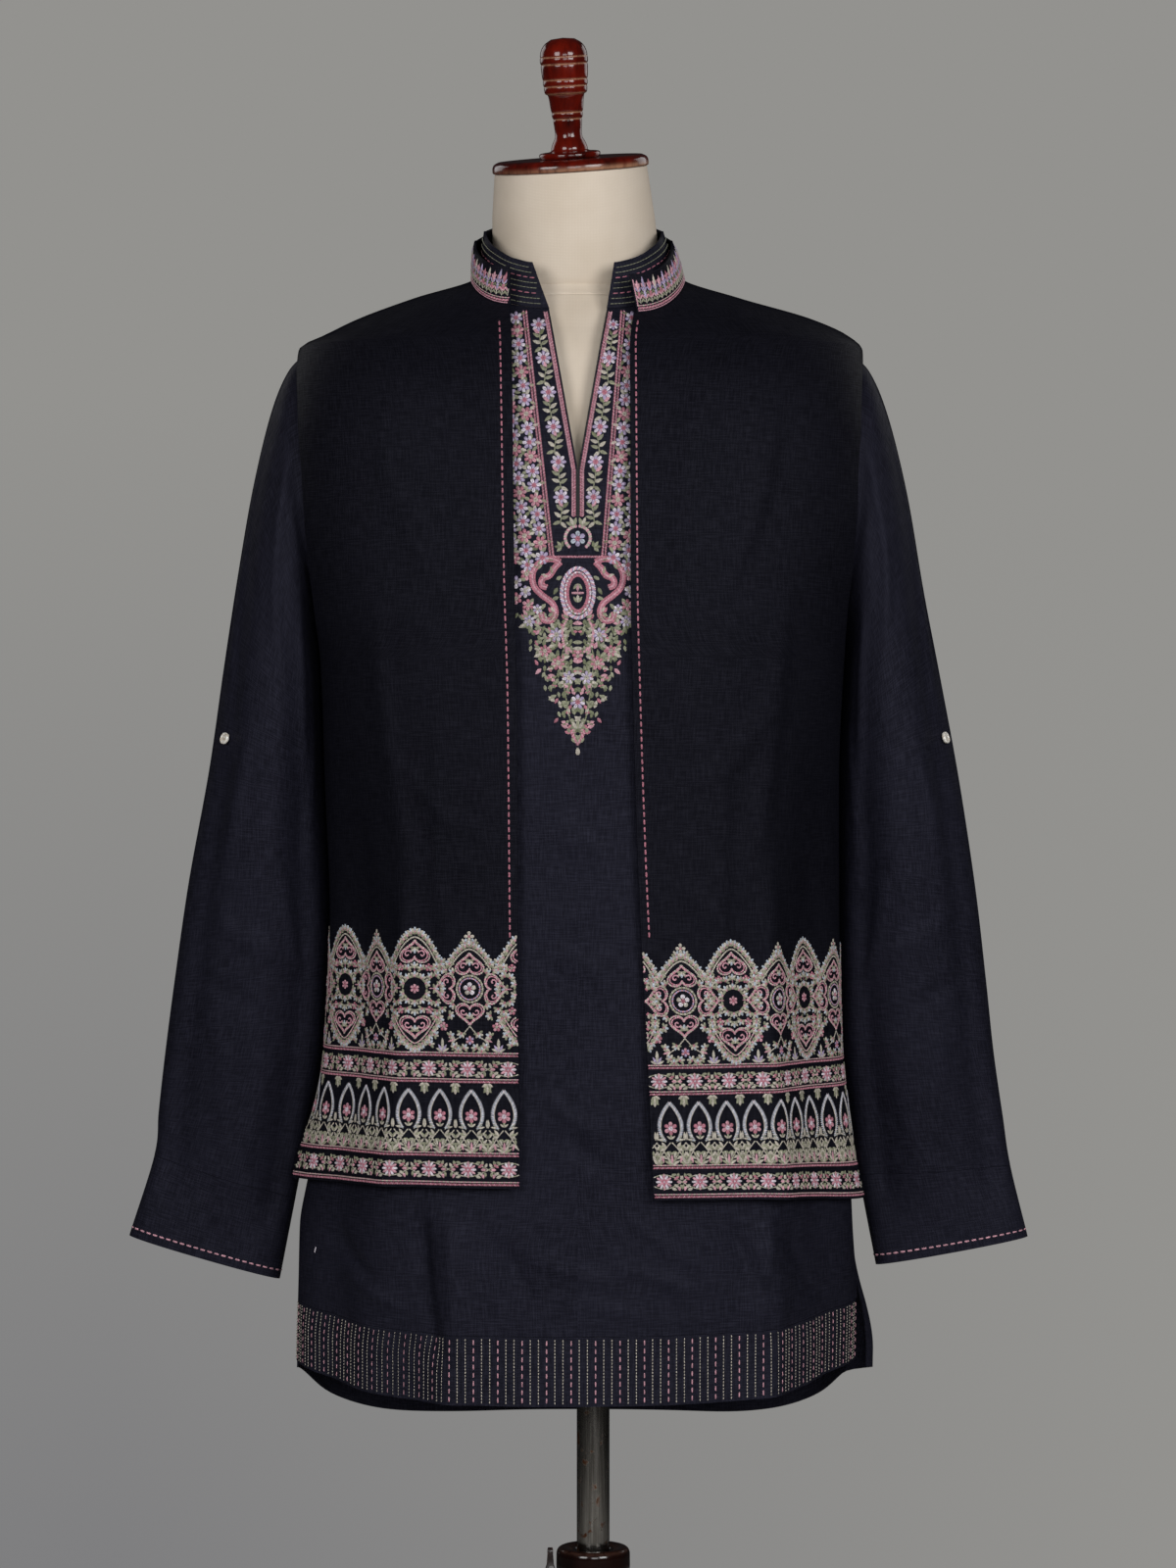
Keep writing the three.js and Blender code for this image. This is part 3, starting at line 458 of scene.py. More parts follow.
def apply_modifiers(piece: bpy.types.Object) -> None:
    """Apply all of a piece's modifiers."""
    select_only(piece)
    for modifier in list(piece.modifiers):
        bpy.ops.object.modifier_apply(modifier=modifier.name)


def cloth_piece(name: str, grids: list[Points], thickness: float, finish: "Finish") -> bpy.types.Object:
    """Sew grids of points into one cloth with a wall and a UV map in metres.

    Args:
        name: the piece's name.
        grids: arrays of rows and columns of points in mm, outer face, the columns running
            to the viewer's right on a front.
        thickness: the wall in mm, which is laid inwards.
        finish: the cloth's finish.

    Returns:
        The piece.
    """
    points, corners, faces = [], [], []
    numbers: dict[tuple[float, ...], int] = {}
    for grid in grids:
        across = np.linalg.norm(np.diff(grid, axis=1), axis=2)
        u = np.concatenate([np.zeros((len(grid), 1)), np.cumsum(across, 1)], 1)
        u = u - u.mean(1, keepdims=True)
        down = np.linalg.norm(np.diff(grid, axis=0), axis=2).mean(1)
        v = np.broadcast_to(-np.concatenate([[0], np.cumsum(down)])[:, None], u.shape)
        index = np.empty(u.shape, int)
        for r, c in np.ndindex(u.shape):
            key = tuple(np.round(grid[r, c], 2))
            if key not in numbers:
                numbers[key] = len(points)
                points.append(grid[r, c])
            index[r, c] = numbers[key]
        for r, c in np.ndindex(u.shape[0] - 1, u.shape[1] - 1):
            cells = ((r, c), (r + 1, c), (r + 1, c + 1), (r, c + 1))
            face = {index[cell]: cell for cell in cells}
            if len(face) > 2:
                faces.append(tuple(face))
                corners.extend((u[cell] * MM, v[cell] * MM) for cell in face.values())
    piece = mesh_piece(name, np.array(points), faces)
    layer = piece.data.uv_layers.new(name="weave")
    layer.data.foreach_set("uv", np.array(corners, np.float32).ravel())
    wall = piece.modifiers.new("wall", "SOLIDIFY")
    wall.thickness = thickness * MM
    wall.offset = -1.0
    apply_modifiers(piece)
    bpy.ops.object.shade_smooth_by_angle(angle=math.radians(50))
    piece.data.materials.append(finish.material())
    return piece


def dress(piece: bpy.types.Object, body: Body, slot: str, *nodes: str) -> bpy.types.Object:
    """Put a piece on its body and hide what it stands for."""
    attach(piece, body.value)
    if nodes:
        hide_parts(*nodes)
    LOG.info("%s: %d faces", piece.name, len(piece.data.polygons))
    return piece


def turned_piece(name: str, profile: Line, sides: int) -> bpy.types.Object:
    """Turn a piece about the upright axis, by extruding a circle from row to row.

    Args:
        name: the piece's name.
        profile: radius and height pairs in mm. A first or last radius of 0 closes that end.
        sides: how many sides it has.

    Returns:
        The piece, with its axis on Z.
    """
    deselect()
    rows = [(max(r, 0.01) * MM, z * MM) for r, z in profile]
    radius, height = rows[0]
    bpy.ops.mesh.primitive_circle_add(vertices=sides, radius=radius, location=(0, 0, height))
    piece = bpy.context.object
    piece.name = piece.data.name = name
    bpy.ops.object.transform_apply(location=True, rotation=True, scale=True)
    bpy.ops.object.mode_set(mode="EDIT")
    bpy.ops.mesh.select_mode(type="VERT")
    bpy.ops.mesh.select_all(action="SELECT")
    for wide, z in rows[1:]:
        bpy.ops.mesh.extrude_region_move(TRANSFORM_OT_translate={"value": (0, 0, z - height)})
        share = wide / radius
        bpy.ops.transform.resize(value=(share, share, 1), center_override=(0, 0, z))
        radius, height = wide, z
    bpy.ops.mesh.select_all(action="SELECT")
    bpy.ops.mesh.remove_doubles(threshold=0.00003)
    bpy.ops.mesh.select_all(action="SELECT")
    bpy.ops.mesh.normals_make_consistent(inside=False)
    bpy.ops.object.mode_set(mode="OBJECT")
    bpy.ops.object.shade_smooth_by_angle(angle=math.radians(38))
    return piece


def settle(piece: bpy.types.Object, place: Matrix) -> None:
    """Move a piece's mesh to its place and leave its object at the origin."""
    select_only(piece)
    piece.matrix_world = place
    bpy.ops.object.transform_apply(location=True, rotation=True, scale=True)


def eased(profile: Line, rounds: int = 2) -> list[tuple[float, float]]:
    """Cut the corners of a profile so that it runs in soft curves.

    Args:
        profile: its points.
        rounds: how often the corners are cut.

    Returns:
        The new points, with the same ends.
    """
    rows = np.array(profile, float)
    for _ in range(rounds):
        near, far = 0.75 * rows[:-1] + 0.25 * rows[1:], 0.25 * rows[:-1] + 0.75 * rows[1:]
        middle = np.stack([near, far], 1).reshape(-1, 2)
        rows = np.concatenate([rows[:1], middle, rows[-1:]])
    return [tuple(row) for row in rows]


# ---- finishes ---------------------------------------------------------------------------------


def linear(colour: str) -> tuple[float, float, float, float]:
    """Turn an sRGB hex colour into the linear one that Blender works in."""
    parts = [int(colour[i:i + 2], 16) / 255 for i in (1, 3, 5)]
    low_end, gain = 0.04045, 12.92
    turned = [c / gain if c <= low_end else ((c + 0.055) / 1.055) ** 2.4 for c in parts]
    return (*turned, 1.0)


def feed(tree: bpy.types.NodeTree, node: bpy.types.Node, inputs: dict | Sequence) -> None:
    """Fill a node's sockets.

    Args:
        tree: the material's nodes.
        node: the node.
        inputs: sockets by name or number, or the first ones in order, each a value or the
            socket that feeds it.
    """
    for name, value in inputs.items() if isinstance(inputs, dict) else enumerate(inputs):
        if isinstance(value, bpy.types.NodeSocket):
            tree.links.new(value, node.inputs[name])
        else:
            node.inputs[name].default_value = value


def add_node(tree: bpy.types.NodeTree, kind: str, settings: dict | None = None,
             inputs: dict | Sequence = ()) -> bpy.types.Node:
    """Add a shader node.

    Args:
        tree: the material's nodes.
        kind: the node's type name after "ShaderNode".
        settings: the node's own settings.
        inputs: what its sockets hold, as feed takes it.

    Returns:
        The node.
    """
    node = tree.nodes.new("ShaderNode" + kind)
    for name, value in (settings or {}).items():
        setattr(node, name, value)
    feed(tree, node, inputs)
    return node


COLOURS = {"data_type": "RGBA"}  # makes a Mix node mix colours
FACTOR, LOW, HIGH, MIXED = 0, 6, 7, 2  # the sockets of such a node
WAVE_PERIOD = 0.314  # the length of one band of a Wave texture at scale 1


@dataclass(frozen=True)
class Finish:
    """What every finish has: a name and a shader."""

    name: str

    @cache
    def material(self) -> bpy.types.Material:
        """The material, made the first time that it is asked for."""
        made = bpy.data.materials.new(self.name)
        made.use_nodes = True
        self.lay(made.node_tree, made.node_tree.nodes["Principled BSDF"])
        return made

    def lay(self, tree: bpy.types.NodeTree, shader: bpy.types.Node) -> None:
        """Wire the nodes. Each kind of finish has its own."""


@dataclass(frozen=True)
class Linen(Finish):
    """Plain-woven linen: uneven slub threads both ways, matt with a faint sheen on its fibres.

    The threads are drawn about twice as coarse as real ones, so that the weave shows.
    """

    ground: str
    slub: str
    gloss: float
    thread: float = 0.9  # mm from thread to thread
    patch: float = 104.0  # mm, the size of the soft patches of worn colour

    def lay(self, tree: bpy.types.NodeTree, shader: bpy.types.Node) -> None:
        """Wire warp, weft, slubs and the soft patches of worn colour."""
        place = add_node(tree, "UVMap", {"uv_map": "weave"}).outputs["UV"]
        threads, streaks = [], []
        for way, stretch in (("X", (1, 0.07, 1)), ("Y", (0.07, 1, 1))):
            threads.append(add_node(tree, "TexWave", {"bands_direction": way}, {
                "Vector": place, "Scale": WAVE_PERIOD / (self.thread * MM), "Distortion": 1.2,
                "Detail": 1.0, "Detail Scale": 0.6}).outputs["Fac"])
            along = add_node(tree, "Mapping", None, {"Vector": place, "Scale": stretch}).outputs[0]
            slubs = add_node(tree, "TexNoise", None, {
                "Vector": along, "Scale": 1 / (1.1 * self.thread * MM), "Detail": 2.0}).outputs["Fac"]
            streaks.append(add_node(tree, "MapRange", None, (slubs, 0.38, 0.72)).outputs[0])
        height = add_node(tree, "Math", {"operation": "MAXIMUM"}, threads).outputs[0]
        both = add_node(tree, "Math", {"operation": "ADD"}, streaks).outputs[0]
        streak = add_node(tree, "MapRange", None, (both, 0.2, 1.6)).outputs[0]
        woven = add_node(tree, "Math", {"operation": "MULTIPLY_ADD"}, (height, 0.35, streak)).outputs[0]
        raised = add_node(tree, "MapRange", None, (woven, 0.15, 1.3)).outputs[0]
        shade = add_node(tree, "Mix", COLOURS, {
            FACTOR: raised, LOW: linear(self.ground), HIGH: linear(self.slub)}).outputs[MIXED]
        cloud = add_node(tree, "TexNoise", None, {
            "Vector": place, "Scale": 1 / (self.patch * MM), "Detail": 3.0}).outputs["Fac"]
        worn = add_node(tree, "MapRange", None, (cloud, 0.35, 0.7, 0.0, 0.35)).outputs[0]
        tone = add_node(tree, "Mix", COLOURS, {FACTOR: worn, LOW: shade, HIGH: linear(self.slub)})
        bump = add_node(tree, "Bump", None, {"Height": woven, "Strength": 0.35, "Distance": 0.3 * MM})
        gloss = add_node(tree, "MapRange", None, (
            woven, 0.2, 1.25, 0.55 * self.gloss, 1.5 * self.gloss)).outputs[0]
        turned = add_node(tree, "LayerWeight", None, {"Blend": 0.5}).outputs["Facing"]
        face_on = add_node(tree, "MapRange", None, (turned, 0.5, 0.88, 1.0, 0.0)).outputs[0]
        gloss = add_node(tree, "Math", {"operation": "MULTIPLY"}, (gloss, face_on)).outputs[0]
        feed(tree, shader, {
            "Base Color": tone.outputs[MIXED], "Normal": bump.outputs["Normal"],
            "Specular IOR Level": gloss, "Specular Tint": linear("#c8c9e6"), "Roughness": 0.56,
            "Sheen Weight": 0.012, "Sheen Roughness": 0.5, "Sheen Tint": linear("#8d90a8")})


@dataclass(frozen=True)
class Canvas(Finish):
    """Unbleached cotton canvas stretched over the form: fine even threads, dry and matt, with painted shade
    in the weave's hollows.
    """

    ground: str = "#dccfbf"
    # The stains' colour, which also paints the shade in the weave's hollows.
    shade: str = "#b9a892"
    thread: float = 1.1

    def lay(self, tree: bpy.types.NodeTree, shader: bpy.types.Node) -> None:
        """Wire the threads, the faint stains and the painted shade in the weave's hollows."""
        place = add_node(tree, "TexCoord").outputs["Object"]
        threads = [add_node(tree, "TexWave", {"bands_direction": way}, {
            "Vector": place, "Scale": WAVE_PERIOD / (self.thread * MM), "Distortion": 1.5,
            "Detail Scale": 0.5}).outputs["Fac"] for way in ("Z", "X")]
        weave = add_node(tree, "Math", {"operation": "MULTIPLY"}, threads).outputs[0]
        stain = add_node(tree, "TexNoise", None, {
            "Vector": place, "Scale": 14.0, "Detail": 4.0}).outputs["Fac"]
        stained = add_node(tree, "MapRange", None, (stain, 0.42, 0.75, 0.0, 0.45)).outputs[0]
        base = add_node(tree, "Mix", COLOURS, {
            FACTOR: stained, LOW: linear(self.ground), HIGH: linear(self.shade)}).outputs[MIXED]
        # Painted shade: the hollows between the threads are darkened towards the stains' colour.
        painted_weave_shade = add_node(tree, "MapRange", None, (weave, 0.0, 0.6, 0.18, 0.0)).outputs[0]
        dark = add_node(tree, "Mix", COLOURS, {FACTOR: painted_weave_shade, LOW: base, HIGH: linear(self.shade)})
        bump = add_node(tree, "Bump", None, {"Height": weave, "Strength": 0.3, "Distance": 0.25 * MM})
        feed(tree, shader, {
            "Base Color": dark.outputs[MIXED], "Normal": bump.outputs["Normal"], "Roughness": 0.9,
            "Specular IOR Level": 0.2})


@dataclass(frozen=True)
class LacqueredWood(Finish):
    """Turned hardwood under red-brown shellac: glossy, darker in the hollows, worn at its edges.

    A point attribute named wear says where the lacquer has gone.
    """

    deep: str = "#260504"
    glow: str = "#681408"
    worn: str = "#a3765a"

    def lay(self, tree: bpy.types.NodeTree, shader: bpy.types.Node) -> None:
        """Wire the grain, the clouded lacquer and the bare wood."""
        place = add_node(tree, "TexCoord").outputs["Object"]
        along = add_node(tree, "Mapping", None, {"Vector": place, "Scale": (1, 1, 0.12)}).outputs[0]
        grain = add_node(tree, "TexNoise", None, {
            "Vector": along, "Scale": 260.0, "Detail": 5.0}).outputs["Fac"]
        cloud = add_node(tree, "TexNoise", None, {
            "Vector": place, "Scale": 45.0, "Detail": 3.0}).outputs["Fac"]
        stain = add_node(tree, "Math", {"operation": "MULTIPLY_ADD"}, (grain, 0.5, cloud)).outputs[0]
        stained = add_node(tree, "MapRange", None, (stain, 0.5, 1.0)).outputs[0]
        body = add_node(tree, "Mix", COLOURS, {
            FACTOR: stained, LOW: linear(self.deep), HIGH: linear(self.glow)}).outputs[MIXED]
        wear = add_node(tree, "Attribute", {"attribute_name": "wear"}).outputs["Fac"]
        bare = add_node(tree, "MapRange", None, (grain, 0.3, 0.55, 0.35, 1.0)).outputs[0]
        rubbed = add_node(tree, "Math", {"operation": "MULTIPLY"}, (wear, bare)).outputs[0]
        tone = add_node(tree, "Mix", COLOURS, {FACTOR: rubbed, LOW: body, HIGH: linear(self.worn)})
        rough = add_node(tree, "MapRange", None, (rubbed, 0.0, 1.0, 0.16, 0.5)).outputs[0]
        bump = add_node(tree, "Bump", None, {"Height": cloud, "Strength": 0.12, "Distance": 0.4 * MM})
        feed(tree, shader, {
            "Base Color": tone.outputs[MIXED], "Normal": bump.outputs["Normal"], "Roughness": rough,
            "Specular IOR Level": 0.3, "Coat Weight": 0.45, "Coat Roughness": 0.07})


@dataclass(frozen=True)
class PolishedSteel(Finish):
    """Bright drawn steel tube: long polishing lines, with scuffs and specks of rust."""

    bright: str = "#9f9c97"
    dull: str = "#5c5853"
    rust: str = "#5a3a26"

    def lay(self, tree: bpy.types.NodeTree, shader: bpy.types.Node) -> None:
        """Wire the drawing lines and the rust."""
        place = add_node(tree, "TexCoord").outputs["Object"]
        along = add_node(tree, "Mapping", None, {"Vector": place, "Scale": (1, 1, 0.02)}).outputs[0]
        lines = add_node(tree, "TexNoise", None, {
            "Vector": along, "Scale": 900.0, "Detail": 3.0}).outputs["Fac"]
        specks = add_node(tree, "TexNoise", None, {
            "Vector": place, "Scale": 120.0, "Detail": 6.0}).outputs["Fac"]
        scored = add_node(tree, "MapRange", None, (lines, 0.35, 0.7)).outputs[0]
        metal = add_node(tree, "Mix", COLOURS, {
            FACTOR: scored, LOW: linear(self.bright), HIGH: linear(self.dull)}).outputs[MIXED]
        rusty = add_node(tree, "MapRange", None, (specks, 0.6, 0.68)).outputs[0]
        tone = add_node(tree, "Mix", COLOURS, {FACTOR: rusty, LOW: metal, HIGH: linear(self.rust)})
        rough = add_node(tree, "MapRange", None, (rusty, 0.0, 1.0, 0.24, 0.7)).outputs[0]
        bump = add_node(tree, "Bump", None, {"Height": lines, "Strength": 0.08, "Distance": 0.1 * MM})
        feed(tree, shader, {
            "Base Color": tone.outputs[MIXED], "Normal": bump.outputs["Normal"], "Roughness": rough,
            "Metallic": 1.0})


@dataclass(frozen=True)
class EnamelledIron(Finish):
    """Cast iron under dark stoved enamel: slight orange peel and small chips of brown."""

    coat: str = "#1d1110"
    chip: str = "#4a3026"

    def lay(self, tree: bpy.types.NodeTree, shader: bpy.types.Node) -> None:
        """Wire the orange peel and the chips."""
        place = add_node(tree, "TexCoord").outputs["Object"]
        peel = add_node(tree, "TexNoise", None, {"Vector": place, "Scale": 400.0}).outputs["Fac"]
        chips = add_node(tree, "TexNoise", None, {
            "Vector": place, "Scale": 70.0, "Detail": 5.0}).outputs["Fac"]
        chipped = add_node(tree, "MapRange", None, (chips, 0.62, 0.66)).outputs[0]
        tone = add_node(tree, "Mix", COLOURS, {
            FACTOR: chipped, LOW: linear(self.coat), HIGH: linear(self.chip)})
        rough = add_node(tree, "MapRange", None, (chipped, 0.0, 1.0, 0.3, 0.7)).outputs[0]
        bump = add_node(tree, "Bump", None, {"Height": peel, "Strength": 0.1, "Distance": 0.2 * MM})
        feed(tree, shader, {
            "Base Color": tone.outputs[MIXED], "Normal": bump.outputs["Normal"], "Roughness": rough,
            "Coat Weight": 0.3})


@dataclass(frozen=True)
class Pearl(Finish):
    """Polished shell button: silver white with soft bands of gold and grey."""

    white: str = "#e6e4de"
    gold: str = "#a58d6a"

    def lay(self, tree: bpy.types.NodeTree, shader: bpy.types.Node) -> None:
        """Wire the clouded bands."""
        place = add_node(tree, "TexCoord").outputs["Object"]
        cloud = add_node(tree, "TexNoise", None, {
            "Vector": place, "Scale": 220.0, "Distortion": 2.0}).outputs["Fac"]
        banded = add_node(tree, "MapRange", None, (cloud, 0.45, 0.75)).outputs[0]
        tone = add_node(tree, "Mix", COLOURS, {
            FACTOR: banded, LOW: linear(self.white), HIGH: linear(self.gold)})
        feed(tree, shader, {
            "Base Color": tone.outputs[MIXED], "Roughness": 0.18, "Coat Weight": 0.5,
            "Sheen Weight": 0.2})


@dataclass(frozen=True)
class EmbroideryThread(Finish):
    """Twisted silk and cotton thread, in the colour that each stitch carries: a soft shine, and painted
    shade in the grooves between the twists.
    """

    ply: float = 0.5  # mm from twist to twist

    def lay(self, tree: bpy.types.NodeTree, shader: bpy.types.Node) -> None:
        """Wire the stitches' own colours, the twist of the threads and the painted shade in its grooves."""
        colour = add_node(tree, "Attribute", {"attribute_name": "thread"}).outputs["Color"]
        place = add_node(tree, "TexCoord").outputs["Object"]
        twist = add_node(tree, "TexNoise", None, {
            "Vector": place, "Scale": 1 / (self.ply * 2 * MM), "Detail": 2.0}).outputs["Fac"]
        # Painted shade: the hollows between the twists are darkened towards a dark purple grey.
        between = add_node(tree, "MapRange", None, (twist, 0.4, 0.65, 0.45, 0.0)).outputs[0]
        tone = add_node(tree, "Mix", {**COLOURS, "blend_type": "MULTIPLY"}, {
            FACTOR: between, LOW: colour, HIGH: linear("#3a3440")})
        bump = add_node(tree, "Bump", None, {"Height": twist, "Strength": 0.4, "Distance": 0.3 * MM})
        feed(tree, shader, {
            "Base Color": tone.outputs[MIXED], "Normal": bump.outputs["Normal"], "Roughness": 0.55,
            "Sheen Weight": 0.15})


@dataclass(frozen=True)
class StudioPaper(Finish):
    """Matt paper of a studio floor."""

    colour: str = "#b9b7b3"

    def lay(self, tree: bpy.types.NodeTree, shader: bpy.types.Node) -> None:
        """Wire a faint mottle."""
        place = add_node(tree, "TexCoord").outputs["Object"]
        mottle = add_node(tree, "TexNoise", None, {"Vector": place, "Scale": 3.0}).outputs["Fac"]
        faint = add_node(tree, "MapRange", None, (mottle, 0.3, 0.8, 0.0, 0.2)).outputs[0]
        tone = add_node(tree, "Mix", COLOURS, {
            FACTOR: faint, LOW: linear(self.colour), HIGH: linear("#9a9895")})
        feed(tree, shader, {"Base Color": tone.outputs[MIXED], "Roughness": 0.95})


KURTA_LINEN = Linen("navy_kurta_linen", "#101017", "#20202b", gloss=0.12)
WAISTCOAT_LINEN = Linen("navy_waistcoat_linen", "#0a0a0f", "#15151c", gloss=0.09)
FORM_CANVAS = Canvas("unbleached_canvas")
LACQUER = LacqueredWood("shellacked_wood")
# A copy of the lacquer with every colour darker: painted shade for the column, which stands under the skirt.
SHADED_LACQUER = LacqueredWood("shellacked_wood_painted_shade", "#090403", "#1d0b08", "#4a3128")
STEEL = PolishedSteel("polished_steel")
ENAMEL = EnamelledIron("stoved_enamel")
PEARL = Pearl("shell_button")
THREAD = EmbroideryThread("embroidery_thread")
PAPER = StudioPaper("studio_paper")


# ---- embroidery -------------------------------------------------------------------------------

class Dye(Enum):
    """Colours of embroidery thread, in sRGB."""

    ROSE = "#bb7183"
    PINK = "#d59dab"
    LILAC = "#b1a1c6"
    ICE = "#bcc6d2"
    CREAM = "#c3bbad"
    SAGE = "#95967c"
    MOSS = "#727757"
    WHITE = "#e3dae4"
    INK = "#0a0a0e"


class Stitch(Enum):
    """How wide a stitch is at four stations from its start to its end."""

    LEAF = (0.10, 1.0, 0.8, 0.06)
    PETAL = (0.25, 0.85, 1.0, 0.45)
    CHAIN = (0.45, 1.0, 0.9, 0.4)
    DASH = (0.75, 1.0, 1.0, 0.75)


STATIONS = (0.0, 0.3, 0.7, 1.0)
CREST = (0.2, 1.0, 1.0, 0.2)  # how high a stitch stands at each station


def bearing(degrees: float) -> tuple[float, float]:
    """The sideways and the upward share of a direction, anticlockwise from the right."""
    return math.cos(math.radians(degrees)), math.sin(math.radians(degrees))


@dataclass(frozen=True)
class ClothMap:
    """Says where the places of a flat pattern lie on a hanging cloth."""

    points: Points
    normals: Points
    on_cloth: Points
    start: tuple[float, float]
    step: tuple[float, float]
    mirrored: bool

    @classmethod
    def over(cls, grid: Points, levels: Points, zero: int, step: float = 1.5,
             opening: Callable[[Points], Points] | None = None) -> "ClothMap":
        """Lay a map over rows of points.

        Args:
            grid: rows of points on the cloth's outer face.
            levels: the rows' v, in even steps.
            zero: the column that u is measured from, along the cloth.
            step: the map's step along u.
            opening: the half width at a v of an opening in the middle.

        Returns:
            The map.
        """
        length = np.linalg.norm(np.diff(grid, axis=1), axis=2)
        u = np.concatenate([np.zeros((len(grid), 1)), np.cumsum(length, 1)], 1)
        u = u - u[:, zero:zero + 1]
        targets = np.arange(u.min(), u.max() + step, step)
        points = np.stack([
            np.stack([np.interp(targets, row_u, row[:, k]) for k in range(3)], -1)
            for row_u, row in zip(u, grid)])
        on_cloth = (targets >= u[:, :1] - 0.2) & (targets <= u[:, -1:] + 0.2)
        if opening is not None:
            on_cloth &= np.abs(targets) > opening(levels)[:, None]
        normals = unit(np.cross(np.gradient(points, axis=1), np.gradient(points, axis=0)))
        outwards = points - np.array([CENTRE_X, 0, 0])
        inside_out = (normals[..., :2] * outwards[..., :2]).sum(-1)[on_cloth].mean() < 0
        return cls(points, -normals if inside_out else normals, on_cloth,
                   (float(targets[0]), float(levels[0])),
                   (step, float(levels[1] - levels[0])), bool(inside_out))

    @property
    def reach(self) -> float:
        """The greatest u."""
        return self.start[0] + self.step[0] * (self.on_cloth.shape[1] - 1)

    def place(self, u: Points, v: Points, height: Points) -> tuple[Points, Points]:
        """Find places on the cloth.

        Args:
            u: along the rows, in mm.
            v: across the rows, in mm.
            height: above the cloth, in mm.

        Returns:
            The points, and which of them are on the cloth.
        """
        x = (u - self.start[0]) / self.step[0]
        y = (v - self.start[1]) / self.step[1]
        rows, columns = self.on_cloth.shape
        inside = (x >= 0) & (y >= 0) & (x <= columns - 1) & (y <= rows - 1)
        i = np.clip(np.floor(x).astype(int), 0, columns - 2)
        j = np.clip(np.floor(y).astype(int), 0, rows - 2)
        s, t = (x - i)[..., None], (y - j)[..., None]

        def read(table: Points) -> Points:
            """Read between four neighbours."""
            low = table[j, i] * (1 - s) + table[j, i + 1] * s
            high = table[j + 1, i] * (1 - s) + table[j + 1, i + 1] * s
            return low * (1 - t) + high * t

        inside &= self.on_cloth[j, i] & self.on_cloth[j + 1, i + 1]
        return read(self.points) + unit(read(self.normals)) * height[..., None], inside


@dataclass(frozen=True)
class Place:
    """A motif's own axes on the cloth. Turns are in degrees, anticlockwise."""

    u: float
    v: float
    turn: float = 0.0
    size: float = 1.0
    mirror: bool = False

    def spot(self, x: Points, y: Points) -> tuple[Points, Points]:
        """Where a point of the motif lies on the cloth."""
        c, s = bearing(self.turn)
        x = -x if self.mirror else x
        return self.u + self.size * (x * c - y * s), self.v + self.size * (x * s + y * c)

    def heading(self, degrees: float) -> float:
        """The direction on the cloth of a direction in the motif."""
        return (180 - degrees if self.mirror else degrees) + self.turn

    def at(self, x: float, y: float, turn: float = 0.0, size: float = 1.0,
           mirror: bool = False) -> "Place":
        """The axes of a motif inside this one."""
        u, v = self.spot(x, y)
        turned = self.turn + (-turn if self.mirror else turn)
        return Place(float(u), float(v), turned, self.size * size, self.mirror != mirror)

    def sides(self) -> tuple["Place", "Place"]:
        """This place and its mirror image."""
        return self, self.at(0, 0, mirror=True)


